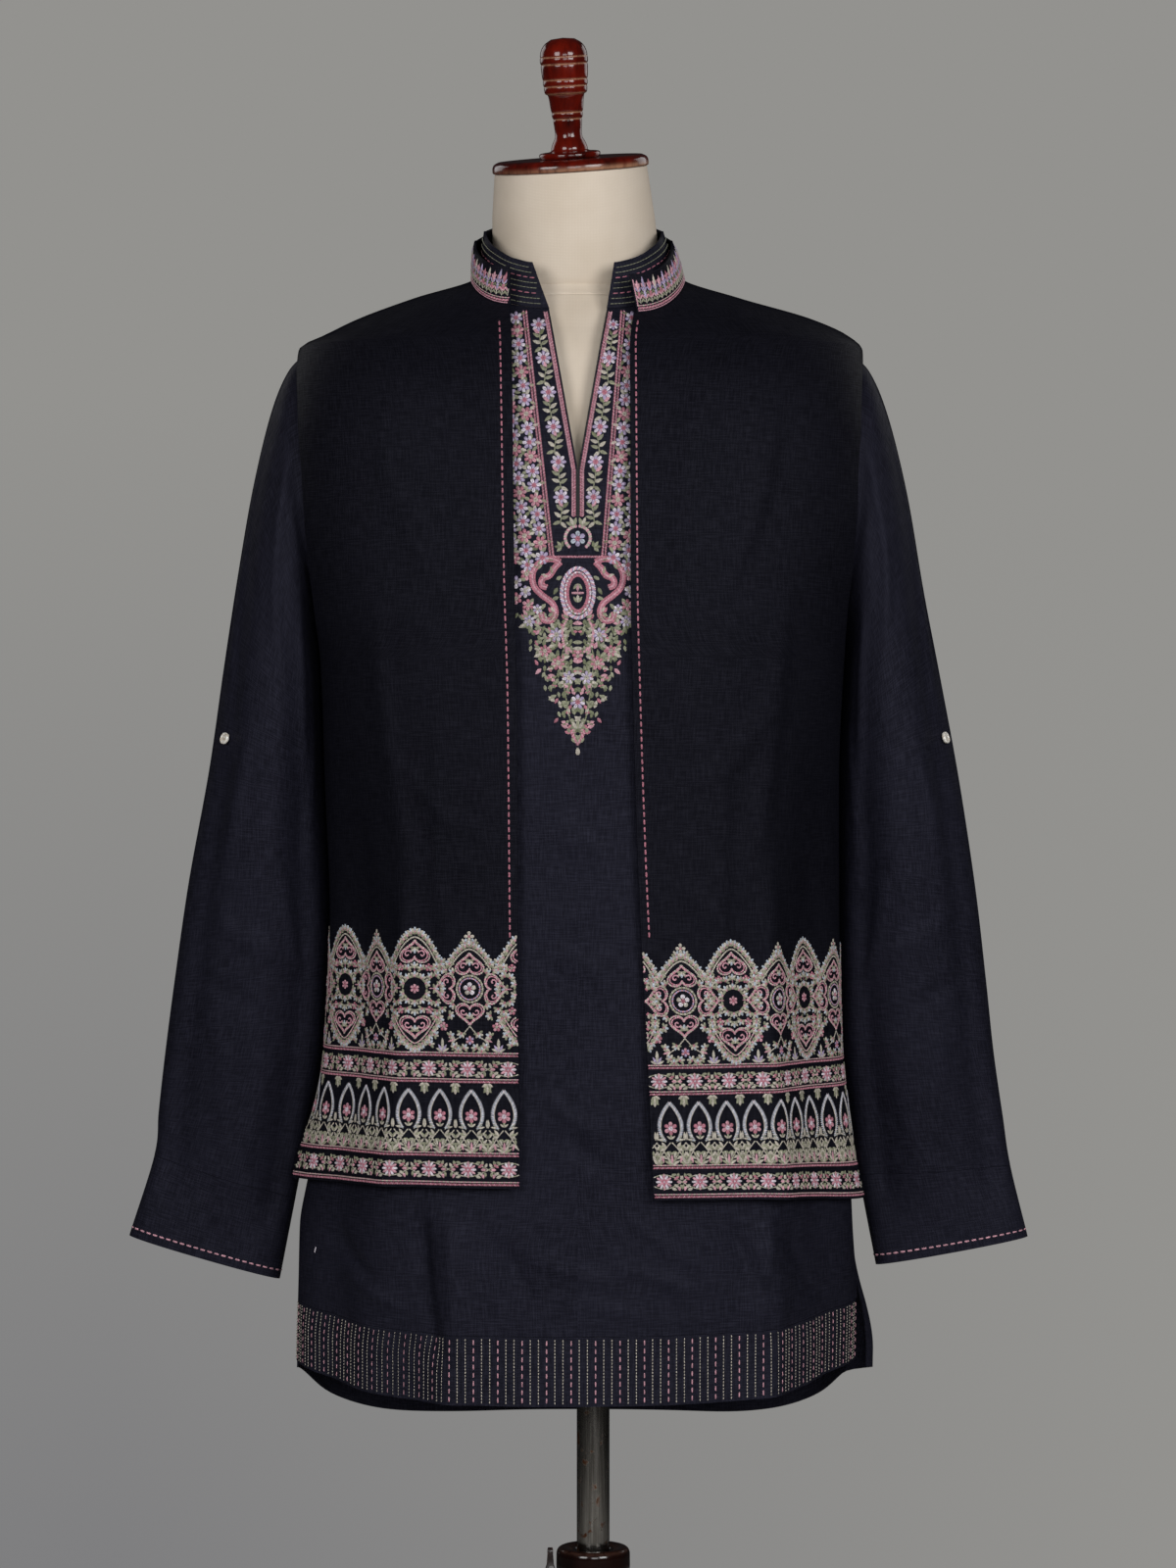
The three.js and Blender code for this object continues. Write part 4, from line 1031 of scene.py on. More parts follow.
class Needle:
    """Lays stitches on a cloth and joins them to one mesh."""

    lift = 0.15  # how far the edges of a stitch stand off the cloth, in mm

    def __init__(self, cloth: ClothMap, seed: int) -> None:
        """Take up a cloth.

        Args:
            cloth: where the pattern lies.
            seed: for the small differences between stitches.
        """
        self.cloth = cloth
        self.chance = np.random.default_rng(seed)
        self.laid: list[tuple[float, ...]] = []

    def stitch(self, place: Place, kind: Stitch, x: float, y: float, turn: float, length: float,
               width: float, dye: Dye, rise: float = 0.55) -> None:
        """Lay one stitch.

        Args:
            place: the motif's axes.
            kind: the stitch's shape.
            x: where it starts.
            y: where it starts.
            turn: which way it runs, in degrees.
            length: its length.
            width: its greatest width.
            dye: its colour.
            rise: how high it stands.
        """
        u, v = place.spot(x, y)
        self.laid.append((
            float(u), float(v), math.radians(place.heading(turn)), length * place.size,
            width * place.size, rise, KINDS.index(kind), DYES.index(dye)))

    def line(self, place: Place, path: Points, dyes: Sequence[Dye], pitch: float = 2.0,
             width: float = 1.15, slant: float = 0.0, stretch: float = 1.25,
             kind: Stitch = Stitch.CHAIN) -> None:
        """Lay stitches one after the other along a path.

        Args:
            place: the motif's axes.
            path: points of the path.
            dyes: the colours, taken in turn.
            pitch: from stitch to stitch, on the cloth.
            width: the stitches' width, on the cloth.
            slant: how far each one is turned across the path, in degrees.
            stretch: a stitch's length as a share of the pitch.
            kind: the stitches' shape.
        """
        path = np.asarray(path, float)
        runs = np.linalg.norm(np.diff(path, axis=0), axis=1) * place.size
        total = np.concatenate([[0], np.cumsum(runs)])
        count = max(2, int(round(total[-1] / pitch)) + 1)
        marks = np.linspace(0, total[-1], count)
        spots = np.stack([np.interp(marks, total, path[:, k]) for k in range(2)], -1)
        for i, (a, b) in enumerate(zip(spots[:-1], spots[1:])):
            ahead = math.degrees(math.atan2(b[1] - a[1], b[0] - a[0]))
            turn, long = ahead + slant, stretch * pitch / place.size
            middle = (a + b) / 2
            start = middle - 0.5 * long * np.array(bearing(turn))
            self.stitch(place, kind, start[0], start[1], turn, long, width / place.size,
                        dyes[i % len(dyes)])

    def rope(self, place: Place, path: Points, dyes: Sequence[Dye] = (Dye.ROSE, Dye.PINK),
             width: float = 2.0) -> None:
        """Lay a twisted cord as slanted stitches in two colours."""
        self.line(place, path, dyes, pitch=1.25, width=0.5 * width, slant=52,
                  stretch=0.86 * width, kind=Stitch.DASH)

    def flower(self, place: Place, radius: float, petals: int, dyes: Sequence[Dye],
               heart: Dye) -> None:
        """Lay a flower: satin petals, a seed stitch between each two, and a heart."""
        wide = 2 * math.pi * 0.66 * radius / petals * 0.9
        for k in range(petals):
            turn = 90 + 360 * k / petals
            c, s = bearing(turn)
            near = 0.28 * radius
            self.stitch(place, Stitch.PETAL, near * c, near * s, turn, 0.74 * radius, wide,
                        dyes[k % len(dyes)], 0.8)
            if petals < 9 and radius > 4:
                self.stitch(place, Stitch.LEAF, near * c, near * s, turn, 0.66 * radius, 0.4 * wide,
                            dyes[(k + 1) % len(dyes)], 1.05)
            self.stitch(place, Stitch.DASH, 0.05 * radius * c, 0.05 * radius * s, turn + 20,
                        0.34 * radius, 0.24 * radius, heart, 1.0)

    def spray(self, place: Place, leaves: int, length: float, width: float, spread: float,
              dyes: Sequence[Dye]) -> None:
        """Lay a fan of leaves round the way that the place points up."""
        for k in range(leaves):
            off = 0.0 if leaves == 1 else spread * (2 * k / (leaves - 1) - 1)
            long = length * (1 - 0.25 * abs(off) / 90)
            self.stitch(place, Stitch.LEAF, 0, 0, 90 + off, long, width, dyes[k % len(dyes)])

    def cluster(self, place: Place, core: Dye = Dye.PINK) -> None:
        """Lay the lace's small trefoil: three looped leaves over a knot."""
        for off, dye in ((-104, Dye.SAGE), (-52, Dye.CREAM), (0, Dye.ICE), (52, Dye.CREAM),
                         (104, Dye.SAGE)):
            self.stitch(place, Stitch.PETAL, 0, 0, 90 + off, 3.7, 1.9, dye, 0.7)
        self.stitch(place, Stitch.DASH, 0, -1.0, 90, 2.4, 1.7, core, 1.0)

    def curl(self, place: Place, radius: float, turns: float, dyes: Sequence[Dye],
             width: float = 1.0) -> None:
        """Lay a small spiral that ends in a knot."""
        t = np.linspace(0, 1, 26)
        angle, reach = 2 * math.pi * turns * t, radius * (1 - 0.75 * t)
        path = np.stack([reach * np.cos(angle), reach * np.sin(angle)], -1)
        self.line(place, path, dyes, pitch=1.3, width=width)

    def heart(self, place: Place, width: float, height: float) -> None:
        """Lay a scrolled heart with its lobes up: two outlines, two curls and a palmette."""
        t = np.linspace(0, 2 * math.pi, 49)
        x = 16 * np.sin(t) ** 3
        y = 13 * np.cos(t) - 5 * np.cos(2 * t) - 2 * np.cos(3 * t) - np.cos(4 * t)
        outline = np.stack([x / 32 * width, (y + 2.5) / 29 * height], -1)
        self.line(place, outline, (Dye.CREAM, Dye.PINK), pitch=1.7, width=1.4)
        self.line(place, outline * 0.85, (Dye.PINK, Dye.PINK, Dye.ROSE), pitch=1.7, width=1.1)
        for side in place.sides():
            self.curl(side.at(0.23 * width, 0.13 * height, 200), 0.13 * width, 0.9, (Dye.PINK,), 1.2)
        self.cluster(place.at(0, -0.12 * height), Dye.CREAM)

    def arch(self, place: Place, half: float, height: float, count: int) -> None:
        """Set trefoils along a pointed arch, with a line under them."""
        share = np.linspace(-1, 1, 41)
        path = np.stack([0.88 * half * share, 0.84 * height * (1 - np.abs(share) ** 1.7)], -1)
        self.line(place, path, (Dye.CREAM,), pitch=1.7, width=1.3)
        for s in np.linspace(-1, 1, count):
            y = height * (1 - abs(s) ** 1.7)
            self.cluster(place.at(half * s, y, -84 * s))

    def build(self, name: str) -> bpy.types.Object:
        """Turn all stitches into one mesh that carries their colours.

        Args:
            name: the piece's name.

        Returns:
            The piece.
        """
        data = np.array(self.laid)
        u, v, turn, length, width, rise = data[:, :6].T
        kind, dye = data[:, 6].astype(int), data[:, 7].astype(int)
        along = length[:, None, None] * np.array(STATIONS)[:, None]
        wide = np.array([k.value for k in KINDS])[kind][..., None] * width[:, None, None] / 2
        across = wide * np.array([-1, 0, 1])
        along = np.broadcast_to(along, across.shape)
        c, s = np.cos(turn)[:, None, None], np.sin(turn)[:, None, None]
        flat_u = u[:, None, None] + along * c - across * s
        flat_v = v[:, None, None] + along * s + across * c
        crest = np.array(CREST)[:, None] * np.array([0, 1, 0])
        points, inside = self.cloth.place(flat_u, flat_v, self.lift + rise[:, None, None] * crest)
        keep = inside.all(axis=(1, 2))
        points, dye = points[keep].reshape(-1, 3), dye[keep]
        corner = np.array([(3 * r + k, 3 * r + k + 3, 3 * r + k + 4, 3 * r + k + 1)
                           for r in range(3) for k in range(2)])
        corner = corner if self.cloth.mirrored else corner[:, ::-1]
        faces = (corner + 12 * np.arange(keep.sum())[:, None, None]).reshape(-1, 4)
        piece = mesh_piece(name, points, faces.tolist())
        shade = np.array([linear(d.value) for d in DYES])[dye]
        shade[:, :3] *= self.chance.uniform(0.82, 1.12, (len(shade), 1))
        layer = piece.data.color_attributes.new("thread", "FLOAT_COLOR", "POINT")
        layer.data.foreach_set("color", np.repeat(shade, 12, axis=0).astype(np.float32).ravel())
        piece.data.shade_smooth()
        piece.data.materials.append(THREAD.material())
        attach(piece, Body.FORM.value)
        LOG.info("%s: %d stitches", name, int(keep.sum()))
        return piece


KINDS = list(Stitch)
DYES = list(Dye)
PETALS = {True: (Dye.ROSE, Dye.PINK), False: (Dye.LILAC, Dye.WHITE)}  # of pink flowers and others


@dataclass(frozen=True)
class Border:
    """The waistcoat's embroidered border. Heights are mm above the hem."""

    repeat: float = 86.4  # of the lace, which has two kinds of column
    arch_pitch: float = 24.6
    arch_start: float = 0.46  # the first arch's place, in pitches
    creeper_pitch: float = 30.6
    edge_rope: float = 2.6
    low_creeper: float = 13.8
    low_rope: float = 24.2
    arch_foot: float = 44.0
    arch_top: float = 72.5
    middle_rope: float = 79.0
    high_creeper: float = 88.5
    lace_rope: float = 98.6
    lace_foot: float = 100.5

    def embroider(self, needle: Needle, width: float, phase: float) -> None:
        """Lay the border.

        Args:
            needle: for the cloth.
            width: how far it runs.
            phase: where the lace's first tall column stands.
        """
        for level in (self.edge_rope, self.low_rope, self.middle_rope, self.lace_rope):
            self.ropes(needle, level, width)
        self.creeper(needle, self.low_creeper, width)
        self.creeper(needle, self.high_creeper, width)
        for k in range(-1, int(width / self.arch_pitch) + 2):
            self.window(needle, Place((k + self.arch_start) * self.arch_pitch, 0))
        for k in range(-1, int(width / self.repeat) + 2):
            self.tall_column(needle, Place(phase + k * self.repeat, self.lace_foot))
            self.ring_column(needle, Place(phase + (k + 0.5) * self.repeat, self.lace_foot))

    def ropes(self, needle: Needle, level: float, width: float) -> None:
        """A rope with a fine line on each side."""
        across = np.array([[0.5, level], [width, level]])
        home = Place(0, 0)
        needle.rope(home, across, (Dye.ROSE, Dye.ROSE, Dye.PINK), width=1.7)
        needle.line(home, across + (0, 1.9), (Dye.PINK, Dye.CREAM), pitch=1.7, width=1.0)

    def creeper(self, needle: Needle, level: float, width: float) -> None:
        """Two vines that cross between round flowers."""
        pitch = self.creeper_pitch
        u = np.arange(0.5, width, 1.0)
        for sign in (-1, 1):
            v = level + sign * 5.2 * np.cos(math.pi * (u - 8) / pitch)
            needle.line(Place(0, 0), np.stack([u, v], -1), (Dye.CREAM, Dye.SAGE), width=0.95)
        for k in range(-1, int(width / pitch) + 2):
            home = Place(8 + k * pitch, level)
            needle.flower(home, 6.0, 12, (Dye.PINK, Dye.WHITE), Dye.ROSE)
            needle.flower(home, 3.2, 6, (Dye.PINK, Dye.ROSE), Dye.WHITE)
            for side in home.sides():
                for x, y, turn, long, dye in (
                        (7.6, 1.5, 35, 5.0, Dye.ROSE), (7.4, -2.0, -30, 4.6, Dye.CREAM),
                        (10.4, 3.4, 75, 3.4, Dye.SAGE), (10.6, -3.2, -70, 3.6, Dye.PINK),
                        (12.6, 1.6, 60, 3.6, Dye.CREAM), (12.4, -1.8, -75, 3.8, Dye.SAGE),
                        (5.6, 4.6, 15, 4.2, Dye.SAGE), (5.6, -4.8, -15, 4.2, Dye.CREAM),
                        (9.6, 0.0, 0, 4.0, Dye.PINK)):
                    needle.stitch(side, Stitch.LEAF, x, y, turn, long, 2.3, dye)

    def window(self, needle: Needle, home: Place) -> None:
        """A beaded pointed arch with a flower in it, the sprays below and a leaf drop beside it."""
        foot, rise = self.arch_foot, self.arch_top - self.arch_foot
        t = np.linspace(0, 1, 21)
        half = 9.0 * np.sin(np.pi * np.minimum(0.16 + 0.84 * t, 1.0)) ** 0.85 * (1 - 0.12 * t)
        for side in home.sides():
            path = np.stack([half, foot + rise * t], -1)
            needle.line(side, path, (Dye.ICE, Dye.WHITE), pitch=1.35, width=1.15, slant=-62,
                        stretch=2.6, kind=Stitch.LEAF)
            needle.line(side, path * (0.86, 1) - (0, 0.6), (Dye.CREAM,), pitch=1.7, width=0.8)
            needle.spray(side.at(5.2, foot + 0.5, -58), 2, 5.4, 1.7, 20, (Dye.CREAM, Dye.SAGE))
            stem = np.array([[0.6, foot - 1], [5, foot - 6], [11.8, foot - 17]])
            needle.line(side, stem, (Dye.CREAM,), pitch=1.8, width=1.0)
            needle.spray(side.at(4.2, foot - 5.0, -75), 3, 6.2, 2.3, 40, (Dye.CREAM, Dye.SAGE))
            needle.spray(side.at(3.0, foot - 7.5, 165), 3, 5.2, 2.0, 42, (Dye.SAGE, Dye.CREAM))
            needle.spray(side.at(7.6, foot - 11, 165), 3, 5.4, 2.0, 46, (Dye.CREAM, Dye.PINK))
            needle.spray(side.at(8.6, foot - 11.5, -40), 3, 5.2, 2.0, 46, (Dye.SAGE, Dye.CREAM))
            needle.line(side, stem * (-1, 1) + (11.8, 0), (Dye.CREAM,), pitch=1.8, width=1.0)
            needle.stitch(side, Stitch.LEAF, 11.8, foot - 7, 128, 5.6, 1.6, Dye.CREAM)
            needle.stitch(side, Stitch.LEAF, 11.8, foot - 7, 52, 5.6, 1.6, Dye.SAGE)
            needle.stitch(side, Stitch.LEAF, 11.8, foot + 0.5, 90, 6.6, 2.0, Dye.CREAM)
        needle.flower(home.at(0, foot + 9.5), 4.9, 6, (Dye.PINK, Dye.ROSE), Dye.WHITE)
        needle.spray(home.at(0, foot + 1.5), 3, 4.6, 1.6, 52, (Dye.CREAM, Dye.SAGE))
        needle.spray(home.at(0, foot - 17.5), 5, 8.0, 2.2, 62, (Dye.CREAM, Dye.SAGE, Dye.PINK))
        needle.spray(home.at(0.5 * self.arch_pitch, foot - 17.5), 5, 7.4, 2.2, 62,
                     (Dye.SAGE, Dye.CREAM))
        drop = home.at(0.5 * self.arch_pitch, self.middle_rope - 1.4, 180)
        needle.spray(drop, 5, 5.6, 2.4, 62, (Dye.CREAM, Dye.SAGE))
        needle.spray(drop.at(0, 3.0), 3, 5.2, 2.6, 40, (Dye.SAGE, Dye.CREAM))

    def tall_column(self, needle: Needle, home: Place) -> None:
        """The lace's tall column: an arch over a heart, a ring of trefoils, a heart in a V."""
        needle.arch(home.at(0, 66), 20.5, 24, 15)
        needle.heart(home.at(0, 75.5, 180), 24, 17)
        needle.heart(home.at(0, 18.5), 24, 17)
        needle.flower(home.at(0, 47.5), 3.4, 6, (Dye.PINK,), Dye.ROSE)
        for turn in (24, 57, 90, 123, 156, 204, 237, 270, 303, 336):
            c, s = bearing(turn)
            needle.cluster(home.at(9.6 * c, 47.5 + 9.6 * s, turn - 90))
        for s in np.linspace(-1, 1, 15):
            needle.cluster(home.at(19.5 * s, 3 + 22 * abs(s) ** 1.5, 180 + 78 * s))
        share = np.linspace(-1, 1, 41)
        valley = np.stack([17.2 * share, 6.5 + 20 * np.abs(share) ** 1.5], -1)
        needle.line(home, valley, (Dye.PINK, Dye.CREAM), pitch=1.7, width=1.2)
        for side in home.sides():
            for y in (63.5, 31.5):
                needle.flower(side.at(11.2, y), 3.0, 5, (Dye.ROSE, Dye.PINK), Dye.CREAM)
            for x, y, turn in ((17, 57.5, -30), (17, 37.5, -150), (17.5, 64, 0), (17.5, 31, 180),
                               (5.6, 62.5, 20), (5.6, 32.5, 160), (12.6, 56.5, 40), (12.6, 38.5, 140),
                               (20, 50.5, -60), (20, 44.5, -120), (15.5, 47.5, -90)):
                needle.cluster(side.at(x, y, turn), Dye.ROSE)
            needle.line(side, np.array([[0, 65], [0, 58]]), (Dye.PINK,), width=0.9)
        for y in (64, 31):
            needle.cluster(home.at(0, y, 0 if y > 50 else 180), Dye.CREAM)

    def ring_column(self, needle: Needle, home: Place) -> None:
        """The lace's other column: a finial, hearts above and below a ringed flower, sideways hearts."""
        for turn in range(0, 360, 90):
            c, s = bearing(turn)
            needle.stitch(home, Stitch.PETAL, 0.6 * c, 87 + 0.6 * s, turn, 3.2, 2.6, Dye.CREAM)
        needle.stitch(home, Stitch.DASH, -0.9, 87, 0, 1.8, 1.8, Dye.ROSE, 0.9)
        needle.line(home, np.array([[0, 84], [0, 79]]), (Dye.PINK,), width=0.9)
        needle.arch(home.at(0, 62), 18.5, 18.5, 13)
        needle.heart(home.at(0, 66.8, 180), 22, 16.5)
        needle.heart(home.at(0, 28.6), 22, 16.5)
        around = np.linspace(0, 2 * math.pi, 41)
        ring = np.stack([np.cos(around), np.sin(around)], -1)
        needle.line(home.at(0, 47.8), 10.0 * ring, (Dye.CREAM, Dye.SAGE), pitch=1.7, width=1.7)
        needle.line(home.at(0, 47.8), 8.0 * ring, (Dye.PINK, Dye.LILAC), pitch=1.5, width=1.3)
        needle.flower(home.at(0, 47.8), 4.8, 5, (Dye.WHITE, Dye.CREAM), Dye.ROSE)
        needle.flower(home.at(0, 9.5), 3.2, 6, (Dye.PINK, Dye.LILAC), Dye.ROSE)
        for side in home.sides():
            needle.heart(side.at(20.2, 47.8, 90), 22.5, 17.5)
            needle.line(side, np.array([[28.5, 47.8], [31.5, 47.8]]), (Dye.PINK,), width=0.9)
            needle.line(side, np.array([[0, 20], [6, 13], [14, 8]]), (Dye.CREAM,), width=1.0)
            needle.spray(side.at(11.5, 10.5, -112), 3, 6.0, 2.0, 34, (Dye.CREAM, Dye.PINK))
            needle.flower(side.at(20.4, 19.5), 3.3, 5, (Dye.PINK, Dye.ROSE), Dye.CREAM)
            needle.spray(side.at(21.6, 1.0), 5, 6.8, 2.2, 66, (Dye.CREAM, Dye.LILAC))
            needle.stitch(side, Stitch.LEAF, 21.6, 4.5, 90, 6.4, 2.4, Dye.CREAM)
            for x, y, turn in ((21.6, 68, 0), (12.9, 36, -120), (21.6, 33.0, 180),
                               (12.9, 60, -60), (27.5, 27, -40), (6.6, 14.5, 200),
                               (21.6, 62.5, 180), (15.5, 28, 100), (27.5, 61.5, 40), (9, 1.5, 0),
                               (4.5, 3.5, 30), (28.0, 13.5, 60), (15.5, 66, -20), (11.5, 4.5, -30),
                               (3.4, 82, 20), (31.5, 6.0, 30), (15.4, 12.5, 60), (24.6, 26, 120)):
                needle.cluster(side.at(x, y, turn), Dye.ROSE)


@dataclass(frozen=True)
class Yoke:
    """The embroidery round the kurta's slit. Places are mm from the centre line, and heights."""

    rope_top: float = 1459.0
    slit_rope_end: float = 1300.0
    panel_foot: float = 1270.0
    medallion: float = 1243.0
    outer_top: dict[Hand, float] = field(
        default_factory=lambda: {Hand.LEFT: 39.3, Hand.RIGHT: 33.0})
    outer_foot: float = 18.2
    hidden: float = 57.0  # the flowers run on this far, under the waistcoat

    def outer(self, hand: Hand, z: float) -> float:
        """How far the outer rope is from the centre line."""
        share = (z - self.panel_foot) / (self.rope_top - self.panel_foot)
        return self.outer_foot + (self.outer_top[hand] - self.outer_foot) * share

    def embroider(self, needle: Needle, slit: Callable[[Points], Points]) -> None:
        """Lay all of it.

        Args:
            needle: for the cloth.
            slit: the slit's half width at a height.
        """
        for hand in Hand:
            home = Place(0, 0, mirror=hand is Hand.LEFT)
            self.ropes(needle, home, hand, slit)
            self.inner_column(needle, home, hand, slit)
            self.flower_field(needle, home, hand)
            self.scrolls(needle, home)
            self.lower_leaves(needle, home)
        self.middle(needle, Place(0, 0))

    def ropes(self, needle: Needle, home: Place, hand: Hand,
              slit: Callable[[Points], Points]) -> None:
        """The ropes along the slit and the placket's edge."""
        z = np.linspace(self.rope_top - 1, self.slit_rope_end, 60)
        needle.line(home, np.stack([slit(z) + 0.6, z], -1), (Dye.INK,), pitch=1.3, width=1.5)
        needle.rope(home, np.stack([slit(z) + 2.3, z], -1), (Dye.PINK, Dye.ROSE), width=1.8)
        needle.rope(home.at(3.9, 0, mirror=True), np.stack([-slit(z), z], -1), (Dye.PINK,), width=1.7)
        top = (self.outer(hand, self.rope_top), self.rope_top)
        edge = np.array([top, (self.outer_foot, self.panel_foot), (0, self.panel_foot)])
        needle.rope(home, edge, width=1.8)
        needle.rope(home, edge[:2] + (2.2, 0), (Dye.PINK, Dye.ROSE), width=1.6)

    def inner_column(self, needle: Needle, home: Place, hand: Hand,
                     slit: Callable[[Points], Points]) -> None:
        """Lilac flowers up the placket, with leaves between them."""
        for k, z in enumerate(np.arange(1447, 1300, -26.5)):
            inner, outer = float(slit(np.array(z))) + 3, self.outer(hand, z) - 1.3
            centre, room = (inner + outer) / 2, outer - inner
            needle.flower(home.at(centre, z), min(5.7, 0.52 * room), 8, (Dye.LILAC, Dye.WHITE),
                          Dye.ROSE)
            low = z - 13.2
            inner, outer = float(slit(np.array(low))) + 3, self.outer(hand, low) - 1.3
            mid = home.at((inner + outer) / 2, low, 8 if k % 2 else -8, min(1.0, (outer - inner) / 11))
            needle.line(mid, np.array([[0, 7], [0.8, 0], [0, -7]]), (Dye.SAGE,), width=0.9)
            for x, y, turn, dye in ((0.4, 3, 40, Dye.SAGE), (0.4, 1, 150, Dye.CREAM),
                                    (0.6, -2, 30, Dye.CREAM), (0.4, -3, 155, Dye.SAGE),
                                    (0.4, -5, -30, Dye.SAGE), (0.2, 5, 125, Dye.MOSS),
                                    (0.4, -5.6, 215, Dye.CREAM), (0.4, 6.0, 50, Dye.PINK)):
                needle.stitch(mid, Stitch.LEAF, x, y, turn, 6.4, 2.9, dye, 0.7)

    def flower_field(self, needle: Needle, home: Place, hand: Hand) -> None:
        """Rows of small flowers outside the placket, on leaves."""
        pitch = 10.8
        for row, z in enumerate(np.arange(1453, 1262, -pitch)):
            start = self.outer(hand, z) + 8.4
            for k, x in enumerate(np.arange(start, self.hidden, pitch)):
                pink = (row + k) % 3 == 1
                spot = home.at(x, z - (pitch / 2 if k % 2 else 0), 24 * row)
                needle.flower(spot, 5.2, 7, PETALS[pink], Dye.CREAM if pink else Dye.ROSE)
                for turn, dye in ((48, Dye.SAGE), (138, Dye.MOSS), (228, Dye.SAGE), (318, Dye.CREAM)):
                    c, s = bearing(turn)
                    needle.stitch(spot, Stitch.LEAF, 4.2 * c, 4.2 * s, turn + 22, 5.2, 2.6, dye, 0.5)

    def scrolls(self, needle: Needle, home: Place) -> None:
        """The S-shaped scrolls beside the medallion."""
        foot = self.medallion
        outer = [(13, 23), (20, 25.5), (28, 23), (33.5, 15), (32.5, 5), (26, -2), (19, -7.5),
                 (16.5, -15), (20, -20.5), (26, -19.5), (27, -14.5)]
        hook = [(13, 23), (17, 19), (21, 13), (26, 11), (27, 6), (23, 4)]
        for bend in (outer, hook):
            curve = spline(np.array(bend, float), np.linspace(0, len(bend) - 1, 90))
            ahead = unit(np.gradient(curve, axis=0))
            beside = np.stack([-ahead[:, 1], ahead[:, 0]], -1)
            for off, dye in ((-1.5, Dye.ROSE), (0.0, Dye.PINK), (1.5, Dye.ROSE)):
                needle.line(home.at(0, foot), curve + beside * off, (dye,), pitch=1.5, width=1.9)
        for x, y, turn, long, dye in (
                (19, 14, 80, 6, Dye.SAGE), (22, 12, 20, 5.5, Dye.CREAM), (16, 10, 150, 5, Dye.SAGE),
                (24, -8, -50, 6, Dye.SAGE), (20, -10, -120, 5.5, Dye.CREAM), (15, 4, -60, 6, Dye.MOSS),
                (14, -3, -20, 6, Dye.SAGE), (34, 14, 40, 6, Dye.SAGE), (35, 4, -10, 6, Dye.CREAM),
                (33, -4, -60, 6.5, Dye.SAGE), (31, -14, -20, 6.5, Dye.SAGE), (36, 20, 80, 6, Dye.MOSS),
                (30, 20, 120, 6, Dye.SAGE), (38, 10, 5, 6, Dye.SAGE), (29, -18, -80, 6, Dye.CREAM)):
            needle.stitch(home, Stitch.LEAF, x, foot + y, turn, long, 2.9, dye, 0.7)
        for x, y, radius, pink in ((38, 14, 4.6, True), (39, 1, 4.4, False), (37, -9, 4.4, True),
                                   (46, 8, 4.6, False), (46, -4, 4.4, True), (30, -12, 3.6, False)):
            needle.flower(home.at(x, foot + y), radius, 6, PETALS[pink], Dye.CREAM)

    def lower_leaves(self, needle: Needle, home: Place) -> None:
        """One side of the point below the medallion: flowers and a dense scatter of leaves."""
        flowers = ((16, 1212, 5.2, False), (14.5, 1191, 5.4, True), (6.6, 1180, 5.0, False),
                   (36, 1222, 4.4, False), (24.5, 1200, 4.4, True))
        for x, z, radius, pink in flowers:
            needle.flower(home.at(x, z), radius, 7, PETALS[pink], Dye.CREAM)
            for k, turn in enumerate(range(15, 360, 60)):
                c, s = bearing(turn)
                dye = (Dye.SAGE, Dye.MOSS, Dye.CREAM)[k % 3]
                needle.stitch(home, Stitch.LEAF, x + 0.8 * radius * c, z + 0.8 * radius * s,
                              turn + 25, 6.0, 2.8, dye, 0.5)
        for z in np.arange(1226, 1129, -4.9):
            reach = 43 * ((z - 1120) / 108) ** 0.9
            for k, x in enumerate(np.arange(2.2, reach, 5.0)):
                turn = 75 * math.sin(1.7 * z + 2.1 * k) + (30 if k % 2 else 140)
                dye = (Dye.SAGE, Dye.CREAM, Dye.MOSS, Dye.PINK, Dye.SAGE, Dye.MOSS)[(k + int(z)) % 6]
                needle.stitch(home, Stitch.LEAF, x, z, turn, 6.0, 3.0, dye, 0.4)
                needle.stitch(home, Stitch.LEAF, x + 2.4, z + 2.4, turn + 105, 4.6, 2.4,
                              (Dye.MOSS, Dye.SAGE, Dye.ROSE)[(2 * k + int(z)) % 3], 0.4)
        stem = np.array([[0, 1132], [6, 1150], [10, 1172], [12, 1196], [4, 1222]])
        needle.line(home, stem, (Dye.SAGE, Dye.MOSS), width=1.2)
        leaf = np.array([[8, 1224], [12, 1214], [10, 1204], [4, 1199]])
        needle.line(home, leaf, (Dye.PINK,), pitch=1.7, width=2.6)
        chevron = np.array([[0, 1131], [3.2, 1136], [5.0, 1141]])
        needle.rope(home, chevron, width=2.6)

